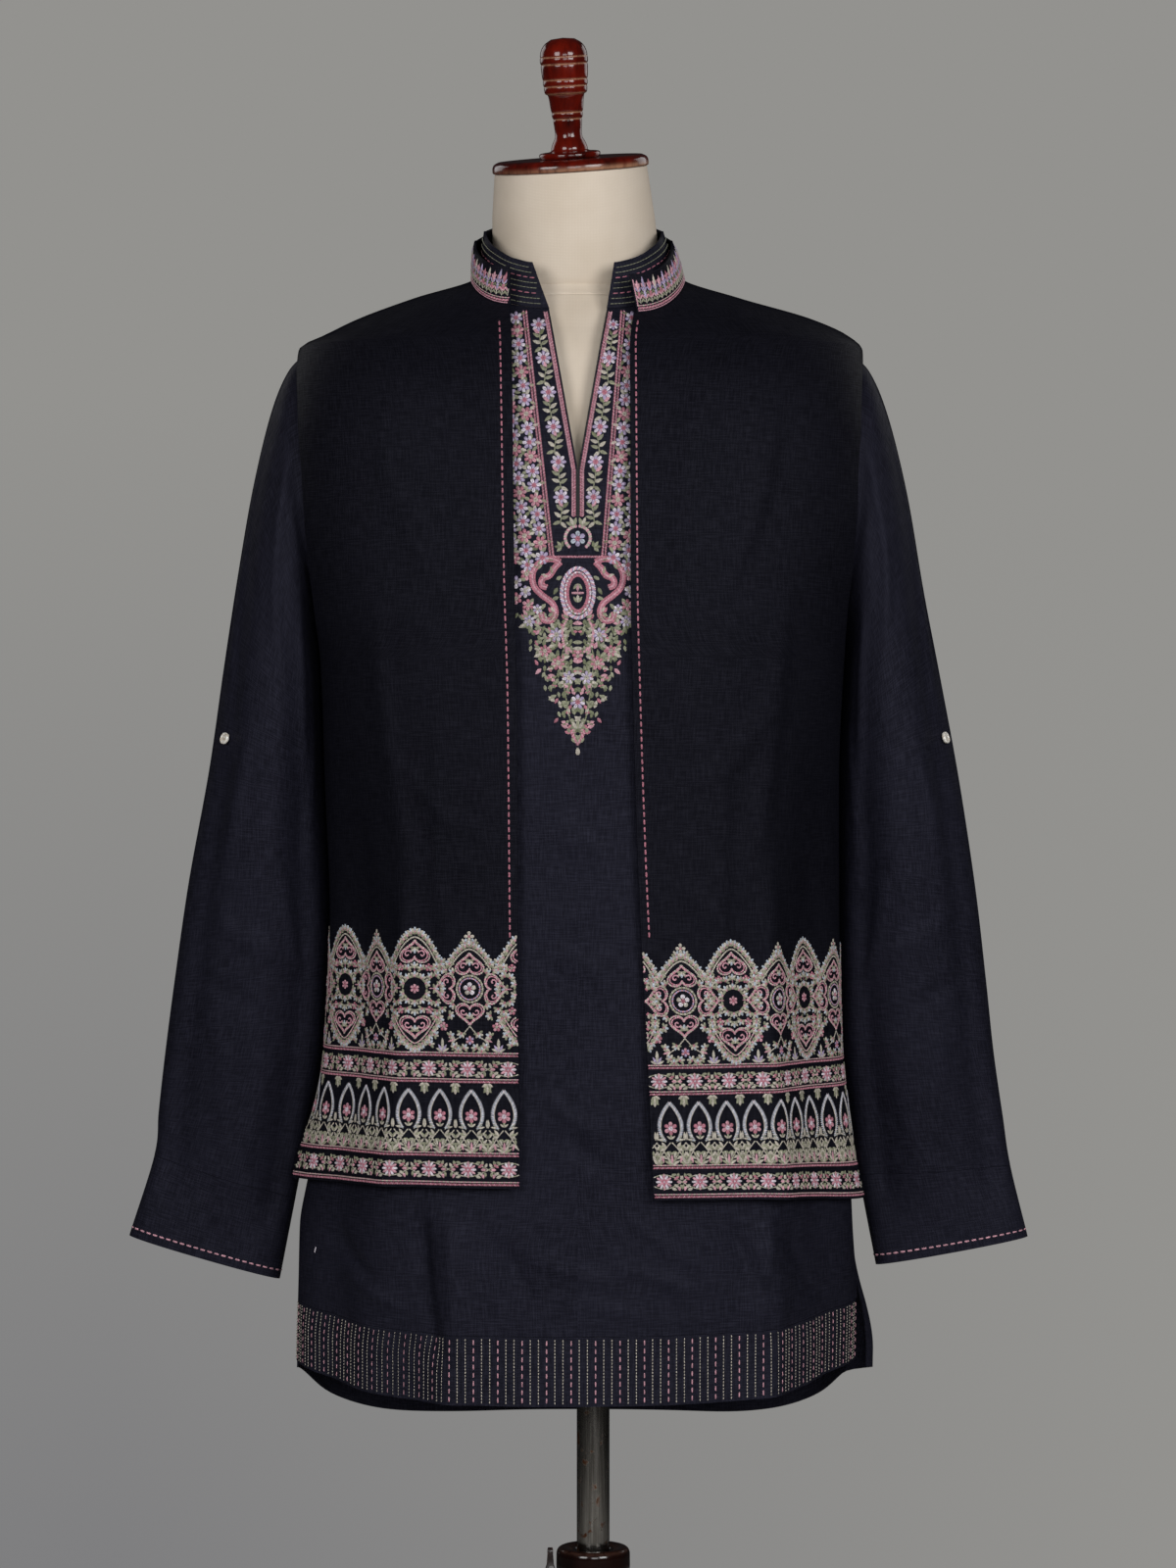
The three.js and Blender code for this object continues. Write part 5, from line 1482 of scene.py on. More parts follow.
    def middle(self, needle: Needle, home: Place) -> None:
        """What lies on the centre line: the top flower, the medallion and the tip."""
        needle.flower(home.at(0, 1283.5), 5.6, 6, (Dye.ICE, Dye.LILAC), Dye.ROSE)
        for side in home.sides():
            t = np.linspace(-0.9, 1.5, 20)
            scroll = np.stack([9.4 * np.cos(t), 1284 + 9 * np.sin(t)], -1)
            needle.line(side, scroll, (Dye.PINK, Dye.CREAM), pitch=1.7, width=2.6)
            needle.spray(side.at(3, 1293, -24), 3, 7.4, 2.8, 40, (Dye.SAGE, Dye.CREAM))
            needle.spray(side.at(12, 1277, -60), 4, 6.0, 2.6, 70, (Dye.SAGE, Dye.MOSS))
        t = np.linspace(0, 2 * math.pi, 49)
        almond = np.stack([np.sign(np.cos(t)) * np.abs(np.cos(t)) ** 1.1, np.sin(t)], -1)
        middle = home.at(0, self.medallion)
        needle.rope(middle, almond * (12, 18.6), (Dye.WHITE, Dye.LILAC, Dye.PINK), width=3.0)
        needle.line(middle, almond * (9.4, 15.6), (Dye.WHITE, Dye.PINK), pitch=1.5, width=1.7)
        needle.line(middle, almond * (7.6, 13.4), (Dye.ROSE,), pitch=1.5, width=2.4)
        needle.stitch(middle, Stitch.DASH, -4.5, 0, 0, 9.0, 1.8, Dye.PINK, 0.9)
        needle.spray(middle.at(0, -7), 3, 6.0, 2.4, 38, (Dye.SAGE, Dye.CREAM))
        needle.spray(middle.at(0, 7, 180), 3, 6.0, 2.4, 38, (Dye.SAGE, Dye.PINK))
        needle.flower(home.at(0, 1162), 5.4, 7, (Dye.LILAC, Dye.WHITE), Dye.ROSE)
        needle.flower(home.at(0, 1196), 4.0, 5, (Dye.PINK, Dye.ROSE), Dye.CREAM)
        needle.spray(home.at(0, 1141), 5, 9.0, 2.9, 66, (Dye.SAGE, Dye.CREAM))
        needle.stitch(home, Stitch.PETAL, 0, 1128, -90, 5.4, 3.4, Dye.CREAM, 0.9)
        needle.stitch(home, Stitch.DASH, 0, 1133, -90, 3.4, 1.6, Dye.PINK, 0.9)


def running_stitch(needle: Needle, path: Points, dye: Dye, pitch: float = 5.6,
                   length: float = 3.6, width: float = 1.3) -> None:
    """Lay separate straight stitches along a path."""
    needle.line(Place(0, 0), path, (dye,), pitch=pitch, width=width, stretch=length / pitch,
                kind=Stitch.DASH)


# ---- the garments -----------------------------------------------------------------------------

COLLAR_STATIONS = (-90, -75, -59, -43, -28, -14, 0, 15, 30, 46, 62, 90)


@dataclass(frozen=True)
class StandCollar:
    """A stand collar: its height, lean and slant run from the front ends to the middle of the back."""

    cut: Cut
    shape: Rows
    cloth: float = 2.0
    inset: float = 0.4
    drift: float = 3.5  # the neck leans to the left, and the collar's top edge with it
    columns: int = 181
    rows: int = 13

    def grid(self) -> Points:
        """Lay out the collar's outer face.

        Returns:
            Rows from the neckline up, columns from the viewer's right front end round the back.
        """
        ends = len(COLLAR_STATIONS) - 1
        place = np.linspace(0, 2 * ends, self.columns)
        nearest = np.minimum(place, 2 * ends - place)
        degrees = np.interp(nearest, range(ends + 1), COLLAR_STATIONS)
        cut, back = self.cut, nearest / ends
        angle, z = np.empty(len(place)), np.empty(len(place))
        for hand in (Hand.RIGHT, Hand.LEFT):
            mine = place <= ends if hand is Hand.RIGHT else place > ends
            turn = np.radians(degrees)
            fore = cut.neck_top - (cut.neck_top - cut.neck_front[hand]) * np.sin(-turn)
            front_angle = cut.angle_of(fore, cut.neck_half(fore, hand), hand)
            rear = cut.neck_top + (cut.neck_back - cut.neck_top) * np.sin(turn)
            in_front = degrees < 0
            side = np.where(in_front, front_angle, QUARTER + turn)
            angle[mine] = (hand.value * side)[mine]
            z[mine] = np.where(in_front, fore, rear)[mine]
        base = cut.shape.point(angle, z)
        out = np.stack([base[:, 0] - CENTRE_X, base[:, 1] * 1.1, np.zeros(len(z))], -1)
        out = unit(out)
        up = np.linspace(0, 1, self.rows)[:, None, None]
        height, lean, slant = (self.shape.at(name, back) for name in ("height", "lean", "slant"))
        points = base - out * (lean[:, None] * up**1.3 + self.inset)
        points[..., 2] += SEAM_GAP + height * up[..., 0]
        points[..., 0] += (np.sign(out[:, 0]) * slant - self.drift) * up[..., 0]
        return points

    def build(self, name: str, finish: Finish) -> bpy.types.Object:
        """Make the collar as a folded, fused band."""
        return cloth_piece(name, [self.grid()[:, ::-1]], self.cloth, finish)


def even_angles(shape: BodyShape, start: Points, end: Points, z: Points, columns: int) -> Points:
    """Space columns evenly along the cloth.

    Args:
        shape: the surface.
        start: each row's first angle.
        end: each row's last angle.
        z: each row's height.
        columns: cells across.

    Returns:
        The angles, a row for each height.
    """
    angles = start[:, None] + (end - start)[:, None] * np.linspace(0, 1, 321)
    points = shape.point(angles, z[:, None])
    length = np.linalg.norm(np.diff(points, axis=1), axis=2)
    total = np.concatenate([np.zeros((len(z), 1)), np.cumsum(length + 1e-9, 1)], 1)
    targets = total[:, -1:] * np.linspace(0, 1, columns + 1)
    return np.stack([np.interp(t, s, a) for t, s, a in zip(targets, total, angles)])


def front_grid(cut: Cut, hand: Hand, inner: Callable[[Points], Points], flat: Points, hem: Hem,
               vent: Vent, columns: int, hem_rows: int) -> tuple[Points, Points]:
    """Lay out one half of a front.

    Args:
        cut: the garment's cut.
        hand: which half.
        inner: how far the slit or front edge is from the centre line at a height.
        flat: the heights of the rows below the underarm.
        hem: the hem, or the seam that takes its place.
        vent: the side vent.
        columns: cells across.
        hem_rows: rows that turn into the hem.

    Returns:
        The angles and heights, rows from the top down, columns from the inner edge outwards.
    """
    rows = np.concatenate([cut.top_rows(hand), flat])
    ladder = np.concatenate([rows, np.full(hem_rows, flat[-1])])
    start = cut.angle_of(ladder, inner(ladder), hand)
    end = np.full(len(ladder), QUARTER)
    open_arm = (ladder < cut.tip) & (ladder > cut.underarm)
    end -= np.where(open_arm, cut.armhole_turn(ladder, cut.arm_front), 0)
    end -= np.where(ladder < vent.top, vent.turn(ladder), 0)
    sign = hand.value
    angles = sign * even_angles(cut.shape, sign * start, sign * end, ladder, columns)
    return angles, cut.hang(rows, flat[-1], hem, angles)


def front_points(cut: Cut, hand: Hand, angles: Points, heights: Points) -> Points:
    """Turn a front's layout into points, and pull its seam edges in.

    Args:
        cut: the garment's cut.
        hand: which half.
        angles: angles without their sign.
        heights: heights.

    Returns:
        Points with columns that run to the viewer's right.
    """
    points = cut.shape.point(hand.value * angles, heights)
    at_seam = np.zeros(angles.shape, bool)
    at_seam[:, -1] = angles[:, -1] > QUARTER - 0.2
    at_seam[QUARTER - angles[:, 0] < 1e-3] = True
    points[..., 1] -= np.where(at_seam, SEAM_GAP / 2, 0)
    return points if hand is Hand.RIGHT else points[:, ::-1]


def back_points(cut: Cut, flat: Points, hem: Hem, vent: Vent, columns: int, hem_rows: int) -> Points:
    """Lay out a back.

    Args:
        cut: the garment's cut.
        flat: the heights of the rows below the underarm.
        hem: its hem.
        vent: the side vents.
        columns: cells across.
        hem_rows: rows that turn into the hem.

    Returns:
        Points, rows from the top down, columns from the viewer's right round the back.
    """
    rows = np.concatenate([cut.top_rows(None), flat])
    ladder = np.concatenate([rows, np.full(hem_rows, flat[-1])])
    rise = np.clip((ladder - cut.neck_top) / (cut.neck_back - cut.neck_top), 0, 1)
    limit = QUARTER + np.arcsin(rise)
    open_arm = (ladder < cut.tip) & (ladder > cut.underarm)
    limit += np.where(open_arm, cut.armhole_turn(ladder, cut.arm_back), 0)
    limit += np.where(ladder < vent.top, vent.turn(ladder), 0)
    angles = even_angles(cut.shape, limit, 2 * math.pi - limit, ladder, columns)
    heights = cut.hang(rows, flat[-1], hem, angles)
    points = cut.shape.point(angles, heights)
    sewn = limit < QUARTER + 0.2
    points[sewn, 0, 1] += SEAM_GAP / 2
    points[sewn, -1, 1] += SEAM_GAP / 2
    return points


# Each ring is its outer point's x and z, its inner point's x and z, its depth and its y, in mm.
SLEEVE_RINGS = {
    Hand.LEFT: (
        (225, 1420, 198.5, 1231, 54, 2), (238, 1388, 200.5, 1219, 55, 2),
        (252, 1330, 200.3, 1200, 56, 3), (264, 1262, 199.1, 1172, 57, 5),
        (275, 1192, 198.0, 1137, 56, 8), (287, 1112, 196.3, 1090, 53, 12),
        (303.5, 1025, 193.8, 1030, 51, 18), (315, 948, 193.8, 962, 44, 21),
        (323, 890, 198.8, 893, 36, 25), (328.5, 845, 210.7, 832, 28, 29),
        (332, 811, 221.5, 777.5, 22, 31), (352, 747.5, 234, 713.5, 17, 33),
    ),
    Hand.RIGHT: (
        (226, 1420, 201, 1231, 54, 2), (240, 1386, 205, 1219, 55, 2),
        (255, 1325, 206.5, 1200, 56, 3), (268, 1250, 205.3, 1172, 57, 5),
        (281, 1184, 203.5, 1135, 56, 8), (296, 1105, 202.5, 1088, 53, 12),
        (309.5, 1020, 202.8, 1030, 51, 18), (318, 950, 203.4, 962, 44, 21),
        (324.5, 892, 206.2, 893, 36, 24), (332, 842, 213.8, 836, 28, 27),
        (338, 803.5, 219.5, 796, 22, 28), (352, 747, 233, 725, 17, 30),
    ),
}
# Angles run round the ring, from its outer point towards the front.
SLEEVE_FOLDS = folds(
    (48, 15, -5, 1330, 880), (96, 14, 5, 1300, 900), (132, 14, -6, 1260, 840),
    (230, 20, -3.5, 1300, 860),
)
# Places are degrees round the ring, and heights.
SLEEVE_CREASES = (
    Crease((70, 1380), (104, 1180), 9, 2.97, 6), Crease((118, 1300), (134, 1090), 8, 3.24, -5),
    Crease((28, 1340), (44, 1120), 9, 2.16, 5), Crease((84, 1150), (66, 1040), 10, 2.43, 4),
    Crease((60, 1010), (126, 962), 8, 2.16, 6), Crease((44, 960), (104, 918), 7, -1.89, -5),
    Crease((112, 1040), (140, 930), 9, 2.7, 5), Crease((76, 930), (90, 820), 8, 2.16, 3),
    Crease((110, 900), (100, 800), 7, 1.62, -3), Crease((150, 1180), (142, 1000), 9, 2.43, 4),
    Crease((210, 1360), (250, 1150), 10, 2.43, 6), Crease((290, 1300), (270, 1080), 9, 2.16, -5),
    Crease((220, 1010), (280, 960), 9, 2.03, 6), Crease((250, 920), (240, 810), 8, 1.76, 3),
)


@dataclass(frozen=True)
class Pull:
    """A soft rise or dent that brings the cloth to a button's back."""

    degrees: float
    height: float
    depth: float
    spread: float = 12.0  # degrees across, mm upwards

    def relief(self, degrees: Points, z: Points) -> Points:
        """How far it moves the cloth outwards, in mm."""
        across, up = (degrees - self.degrees) / self.spread, (z - self.height) / self.spread
        return self.depth * np.exp(-(across**2 + up**2))


BUTTON_PULLS = {Hand.LEFT: Pull(45, 1125, 1.8), Hand.RIGHT: Pull(34, 1125, -1.1)}


@dataclass(frozen=True)
class Sleeve:
    """A set-in sleeve that hangs empty, with a cuff sewn on."""

    hand: Hand
    cut: Cut
    around: int = 96
    rows: int = 150
    cuff_rows: int = 24
    cuff_start: int = 10  # the ring that the cuff's seam lies on

    def armhole(self) -> tuple[Points, Points]:
        """The sleeve's first ring, one seam's gap inside the armhole's edge.

        Returns:
            Its points and its outward normals.
        """
        cut, sign = self.cut, self.hand.value
        middle, half = (cut.tip + cut.underarm) / 2, (cut.tip - cut.underarm) / 2
        centre = cut.shape.point(sign * QUARTER, middle)
        turn = np.linspace(0, 2 * math.pi, self.around + 1)
        z = middle + half * np.cos(turn)
        most = np.radians(np.where(np.sin(turn) > 0, cut.arm_front, cut.arm_back))
        angle = sign * (QUARTER - most * np.sin(turn))
        point, normal = cut.shape.point(angle, z), cut.shape.normal(angle, z)
        inwards = centre - point
        inwards = unit(inwards - normal * (inwards * normal).sum(-1, keepdims=True))
        under = ((1 - np.cos(turn)) / 2)[:, None]
        return point + inwards * ARMHOLE_GAP, unit(normal * (1 - under) - inwards * under)

    def ring(self, row: Sequence[float]) -> tuple[Points, Points]:
        """One ring of the hanging sleeve.

        Args:
            row: its values, as SLEEVE_RINGS holds them.

        Returns:
            Its points and its outward normals.
        """
        outer_x, outer_z, inner_x, inner_z, depth, y = row
        sign = self.hand.value
        outer = np.array([CENTRE_X + sign * outer_x, y, outer_z])
        inner = np.array([CENTRE_X + sign * inner_x, y, inner_z])
        middle, across = (outer + inner) / 2, (outer - inner) / 2
        half = np.linalg.norm(across)
        axis = across / half
        angle = np.linspace(0, 2 * math.pi, self.around + 1)
        reach, fore = np.cos(angle)[:, None], np.sin(angle)[:, None]
        point = middle + axis * half * power(reach, 0.9)
        point = point - np.array([0, depth, 0]) * power(fore, 0.9)
        return point, unit(axis * reach / half - np.array([0, 1, 0]) * fore / depth)

    def surface(self) -> Points:
        """The sleeve and the cuff as one surface, in rows from the armhole down."""
        rings = [self.armhole(), *(self.ring(row) for row in SLEEVE_RINGS[self.hand])]
        base = np.array([point for point, _ in rings])
        out = np.array([normal for _, normal in rings])
        last = len(rings) - 1
        seam = self.cuff_start + 1
        place = np.concatenate([
            np.linspace(0, seam, self.rows + 1), np.linspace(seam, last, self.cuff_rows + 1)])
        points, normals = spline(base, place), unit(spline(out, place))
        heights = points[..., 2].mean(1)[:, None]
        degrees = np.degrees(np.linspace(0, 2 * math.pi, self.around + 1))[None]
        relief = sum(fold.relief(degrees, heights) for fold in SLEEVE_FOLDS)
        for crease in SLEEVE_CREASES:
            relief = relief + crease.relief(degrees, heights)
        relief = relief + BUTTON_PULLS[self.hand].relief(degrees, heights)
        relief = relief * smooth((heights - 745) / 60) * smooth(place / 2)[:, None]
        return points + normals * relief[..., None]

    def grids(self) -> tuple[Points, Points]:
        """Split the surface at the cuff's seam.

        Returns:
            The sleeve's and the cuff's points.
        """
        points, split = self.surface(), self.rows + 1
        sleeve, cuff = points[:split], points[split:].copy()
        cuff[..., 2] -= SEAM_GAP * (1 - np.linspace(0, 1, len(cuff)))[:, None]
        if self.hand is Hand.LEFT:
            sleeve, cuff = sleeve[:, ::-1], cuff[:, ::-1]
        return sleeve[:, ::-1], cuff[:, ::-1]


def spline(rings: Points, place: Points) -> Points:
    """Run soft curves through rings of points.

    Args:
        rings: control points, the first axis runs along the curve.
        place: where to read it, as ring numbers.

    Returns:
        Points at each place.
    """
    last = len(rings) - 1
    i = np.clip(np.floor(place).astype(int), 0, last - 1)
    t = (place - i).reshape(-1, *([1] * (rings.ndim - 1)))
    slope = np.gradient(rings, axis=0)
    a, b, da, db = rings[i], rings[i + 1], slope[i], slope[i + 1]
    rise = (2 * t**3 - 3 * t**2 + 1) * a + (3 * t**2 - 2 * t**3) * b
    return rise + (t**3 - 2 * t**2 + t) * da + (t**3 - t**2) * db


@dataclass(frozen=True)
class Kurta:
    """The short kurta: front with a slit, hem band, back, stand collar, sleeves and cuffs."""

    cut: Cut = KURTA_CUT
    slit_end: float = 1337.0
    slit_gap: float = 0.4
    band_seam: Hem = Hem(689, 703)
    front_hem: Hem = Hem(637, 656)
    back_hem: Hem = Hem(598, 648, 6)
    half_columns: int = 68
    back_columns: int = 96
    collar: StandCollar = StandCollar(KURTA_CUT, Rows("z height lean slant", [
        (0, 35, 3, 10), (0.15, 36, 3.5, 1), (0.3, 39, 5, 0), (0.55, 42, 7, 0), (0.8, 42, 4, 0),
        (1, 42, 2, 0)]))

    def slit(self, z: Points) -> Points:
        """How far the neckline or the slit's edge is from the centre line."""
        front, half = self.cut.neck_front[Hand.RIGHT], self.cut.neck_front_half[Hand.RIGHT]
        open_ = (z - self.slit_end) / (front - self.slit_end)
        edge = np.where(open_ <= 0, 0, self.slit_gap + (half - self.slit_gap) * open_)
        return np.where(z > front, self.cut.neck_half(z, Hand.RIGHT), edge)

    def front(self) -> bpy.types.Object:
        """The front, from the neck to the band's seam."""
        flat = np.concatenate([np.arange(1235, 745, -4.5), [745], np.arange(741, 719, -4.0)])
        grids = []
        for hand in Hand:
            layout = front_grid(self.cut, hand, self.slit, flat, self.band_seam, KURTA_VENT,
                                self.half_columns, 9)
            grids.append(front_points(self.cut, hand, *layout))
        piece = cloth_piece("kurta_front_cloth", grids, self.cut.cloth, KURTA_LINEN)
        return dress(piece, Body.FORM, "kurta_linen", "kurta_front")

    def band_grid(self) -> Points:
        """The hem band's outer face, rows from the seam down."""
        limit = QUARTER - float(KURTA_VENT.turn(np.array(660.0)))
        ends, level = np.array([limit]), np.array([660.0])
        angle = even_angles(self.cut.shape, -ends, ends, level, 2 * self.half_columns)[0]
        top = self.band_seam.height(angle) - SEAM_GAP
        share = np.linspace(0, 1, 15)[:, None]
        z = top + (self.front_hem.height(angle) - top) * share
        return self.cut.shape.point(np.broadcast_to(angle, z.shape), z)

    def band(self) -> bpy.types.Object:
        """The stitched band along the front's hem."""
        piece = cloth_piece("kurta_band_cloth", [self.band_grid()], self.cut.cloth, KURTA_LINEN)
        return dress(piece, Body.FORM, "kurta_linen", "kurta_hem_band")

    def back(self) -> bpy.types.Object:
        """The back, which hangs lower than the front."""
        flat = np.concatenate([np.arange(1234, 745, -5.0), [745], np.arange(740, 699, -5.0)])
        grid = back_points(self.cut, flat, self.back_hem, KURTA_VENT, self.back_columns, 18)
        piece = cloth_piece("kurta_back_cloth", [grid], self.cut.cloth, KURTA_LINEN)
        return dress(piece, Body.FORM, "kurta_linen", "kurta_back")

    def build(self) -> None:
        """Make all the pieces and hide the model's parts that they take the place of."""
        front, band, back = self.front(), self.band(), self.back()
        collar = self.collar.build("kurta_collar_cloth", KURTA_LINEN)
        dress(collar, Body.FORM, "kurta_linen", "kurta_collar")
        yoke, rows = self.yoke(), self.band_rows()
        self.tack()
        self.collar_rows()
        for hand in Hand:
            self.sleeve(hand, front)

    def yoke(self) -> bpy.types.Object:
        """The embroidery round the slit."""
        z = np.arange(1112, 1461, 3.0)
        across = np.arange(-63, 63.1, 1.5)
        angles = np.stack([
            np.sign(across) * np.where(across < 0, self.cut.angle_of(row, across, Hand.LEFT),
                                       self.cut.angle_of(row, across, Hand.RIGHT)) for row in z])
        cloth = ClothMap.over(self.cut.shape.point(angles, z[:, None]), z, len(across) // 2,
                              step=0.5, opening=lambda level: self.slit(level) - 0.4)
        needle = Needle(cloth, seed=3)
        Yoke().embroider(needle, self.slit)
        return needle.build("kurta_yoke_embroidery")

    def band_rows(self) -> bpy.types.Object:
        """Upright rows of stitches on the hem band, closer where it turns to the sides."""
        grid = self.band_grid()[::-1]
        levels = np.linspace(0, 52, len(grid))
        cloth = ClothMap.over(grid, levels, grid.shape[1] // 2)
        needle = Needle(cloth, seed=5)
        for hand, corner in ((Hand.LEFT, 96.0), (Hand.RIGHT, 150.0)):
            u, k = (3.0, 1) if hand is Hand.RIGHT else (-3.0, 0)
            while abs(u) < 270:
                path = np.array([[u, 1.5], [u, 50.5]])
                near = 1.0 if abs(u) < corner else 0.45
                if k % 3 == 0:
                    running_stitch(needle, path, Dye.PINK, pitch=5.8, width=1.0 * near)
                else:
                    running_stitch(needle, path, Dye.CREAM, pitch=2.4, length=1.6, width=0.75 * near)
                u += hand.value * (6.1 if abs(u) < corner else 4.4)
                k += hand.value
        return needle.build("kurta_band_stitching")

    def tack(self) -> bpy.types.Object:
        """One white tacking stitch left in the skirt, near its left side."""
        z = np.arange(735, 765, 3.0)
        angles = -self.cut.angle_of(z[:, None], np.linspace(186, 216, 31), Hand.LEFT)
        cloth = ClothMap.over(self.cut.shape.point(angles, z[:, None]), z, 0)
        needle = Needle(cloth, seed=9)
        needle.stitch(Place(33.0, 746.5), Stitch.DASH, 0, 0, -76, 4.6, 1.1, Dye.WHITE)
        return needle.build("kurta_tack_stitch")

    def collar_rows(self) -> bpy.types.Object:
        """Rows of running stitches round the collar."""
        grid = self.collar.grid()
        cloth = ClothMap.over(grid, np.linspace(0, 40, len(grid)), 0)
        needle = Needle(cloth, seed=6)
        for k, v in enumerate(np.linspace(3.4, 35.0, 8)):
            path = np.array([[2.0, v], [cloth.reach, v]])
            if k % 3 == 2:
                running_stitch(needle, path, Dye.ROSE, pitch=5.4, width=1.0)
            else:
                running_stitch(needle, path, Dye.SAGE, pitch=2.8, length=2.5, width=0.6)
        return needle.build("kurta_collar_stitching")

    def sleeve(self, hand: Hand, front: bpy.types.Object) -> None:
        """Make a sleeve and its cuff."""
        side = hand.name.lower()
        upper, lower = Sleeve(hand, self.cut).grids()
        sleeve = cloth_piece(f"kurta_sleeve_{side}_cloth", [upper], self.cut.cloth, KURTA_LINEN)
        dress(sleeve, Body.FORM, "kurta_linen", f"kurta_sleeve_{side}")
        cuff = cloth_piece(f"kurta_cuff_{side}_cloth", [lower], self.cut.cloth, KURTA_LINEN)
        dress(cuff, Body.FORM, "kurta_linen", f"kurta_cuff_{side}")
        cloth = ClothMap.over(lower[::-1], np.linspace(0, 66, len(lower)), 0)
        needle = Needle(cloth, seed=8)
        running_stitch(needle, np.array([[1.0, 7.0], [400.0, 7.0]]), Dye.PINK)
        row = needle.build(f"kurta_cuff_{side}_stitching")


EDGES = {
    Hand.LEFT: Rows("z x", [(1463, 51.5), (1430, 49.5), (1250, 47), (1160, 45), (1000, 44.5), (780, 43)]),
    Hand.RIGHT: Rows("z x", [(1463, 43), (1430, 39), (1250, 39.3), (1160, 41.2), (1030, 45.3), (910, 51),
                             (770, 58)]),
}


@dataclass(frozen=True)
class Waistcoat:
    """The open waistcoat: two fronts, a back and a stand collar."""

    cut: Cut = WAISTCOAT_CUT
    hems: dict[Hand, Hem] = field(
        default_factory=lambda: {Hand.LEFT: Hem(800, 798), Hand.RIGHT: Hem(791, 782)})
    back_hem: Hem = Hem(797, 794)
    columns: int = 52
    back_columns: int = 80
    collar: StandCollar = StandCollar(WAISTCOAT_CUT, Rows("z height lean slant", [
        (0, 29, -1, -3), (0.15, 29, 0, 0), (0.3, 29.5, 3, 0), (0.55, 31, 6, 0), (0.8, 34, 3, 0),
        (1, 35, 2, 0)]))

    def edge(self, z: Points, hand: Hand) -> Points:
        """How far the neckline or the front edge is from the centre line."""
        return np.where(z > self.cut.neck_front[hand], self.cut.neck_half(z, hand),
                        EDGES[hand].at("x", z))

    def front(self, hand: Hand) -> bpy.types.Object:
        """One front."""
        side = hand.name.lower()
        flat = np.concatenate([np.arange(1190, 878, -5.0), [878], np.arange(873, 844, -4.0)])
        layout = front_grid(self.cut, hand, lambda z: self.edge(z, hand), flat, self.hems[hand],
                            WAISTCOAT_VENT, self.columns, 14)
        grid = front_points(self.cut, hand, *layout)
        piece = cloth_piece(f"waistcoat_front_{side}_cloth", [grid], self.cut.cloth, WAISTCOAT_LINEN)
        return dress(piece, Body.FORM, "waistcoat_linen", f"waistcoat_front_{side}")

    def back(self) -> bpy.types.Object:
        """The back."""
        flat = np.concatenate([np.arange(1190, 878, -5.0), [878], np.arange(873, 844, -4.0)])
        grid = back_points(self.cut, flat, self.back_hem, WAISTCOAT_VENT, self.back_columns, 14)
        piece = cloth_piece("waistcoat_back_cloth", [grid], self.cut.cloth, WAISTCOAT_LINEN)
        return dress(piece, Body.FORM, "waistcoat_linen", "waistcoat_back")

    def border_map(self, hem: Hem, start: Callable[[Points], Points],
                   end: Callable[[Points], Points]) -> ClothMap:
        """Lay a map over the lower part of a panel, whose rows follow the hem.

        Args:
            hem: the panel's hem.
            start: the angle of the edge that u is measured from, at a height.
            end: the angle of the other edge.

        Returns:
            The map, with v in mm above the hem.
        """
        levels = np.arange(0, 200, 2.5)
        flat = hem.middle + levels
        angles = start(flat)[:, None] + (end(flat) - start(flat))[:, None] * np.linspace(0, 1, 500)
        dip = (hem.height(angles) - hem.middle) * (1 - smooth(levels / 80))[:, None]
        return ClothMap.over(self.cut.shape.point(angles, flat[:, None] + dip), levels, 0)

    def front_border(self, hand: Hand) -> bpy.types.Object:
        """The border of one front."""
        sign = hand.value
        cloth = self.border_map(
            self.hems[hand], lambda z: sign * self.cut.angle_of(z, self.edge(z, hand), hand),
            lambda z: sign * (QUARTER - WAISTCOAT_VENT.turn(z)))
        needle = Needle(cloth, seed=11 + sign)
        if hand is Hand.LEFT:
            Border().embroider(needle, cloth.reach, -6.5)
        else:
            closer = Border(repeat=79, arch_pitch=22, arch_start=0.68, creeper_pitch=27)
            closer.embroider(needle, cloth.reach, -10.5)
        return needle.build(f"waistcoat_border_{hand.name.lower()}")

    def edge_stitching(self, hand: Hand) -> bpy.types.Object:
        """The running stitch along a front edge, from the neck to the border."""
        z = np.arange(975, 1461, 6.0)
        across = self.edge(z, hand)[:, None] + np.linspace(0, 16, 12)
        angles = hand.value * self.cut.angle_of(z[:, None], across, hand)
        cloth = ClothMap.over(self.cut.shape.point(angles, z[:, None]), z, 0)
        needle = Needle(cloth, seed=21)
        top, foot = (8.8, 6.0) if hand is Hand.LEFT else (4.2, 6.0)
        running_stitch(needle, np.array([[foot, 986.0], [top, 1456.0]]), Dye.ROSE)
        return needle.build(f"waistcoat_edge_stitching_{hand.name.lower()}")

    def back_border(self) -> bpy.types.Object:
        """The plainer border of the back: the creeper between its ropes."""
        cloth = self.border_map(self.back_hem, lambda z: QUARTER + WAISTCOAT_VENT.turn(z),
                                lambda z: 3 * QUARTER - WAISTCOAT_VENT.turn(z))
        needle = Needle(cloth, seed=14)
        border = Border()
        for level in (border.edge_rope, border.low_rope):
            border.ropes(needle, level, cloth.reach)
        border.creeper(needle, border.low_creeper, cloth.reach)
        return needle.build("waistcoat_border_back")

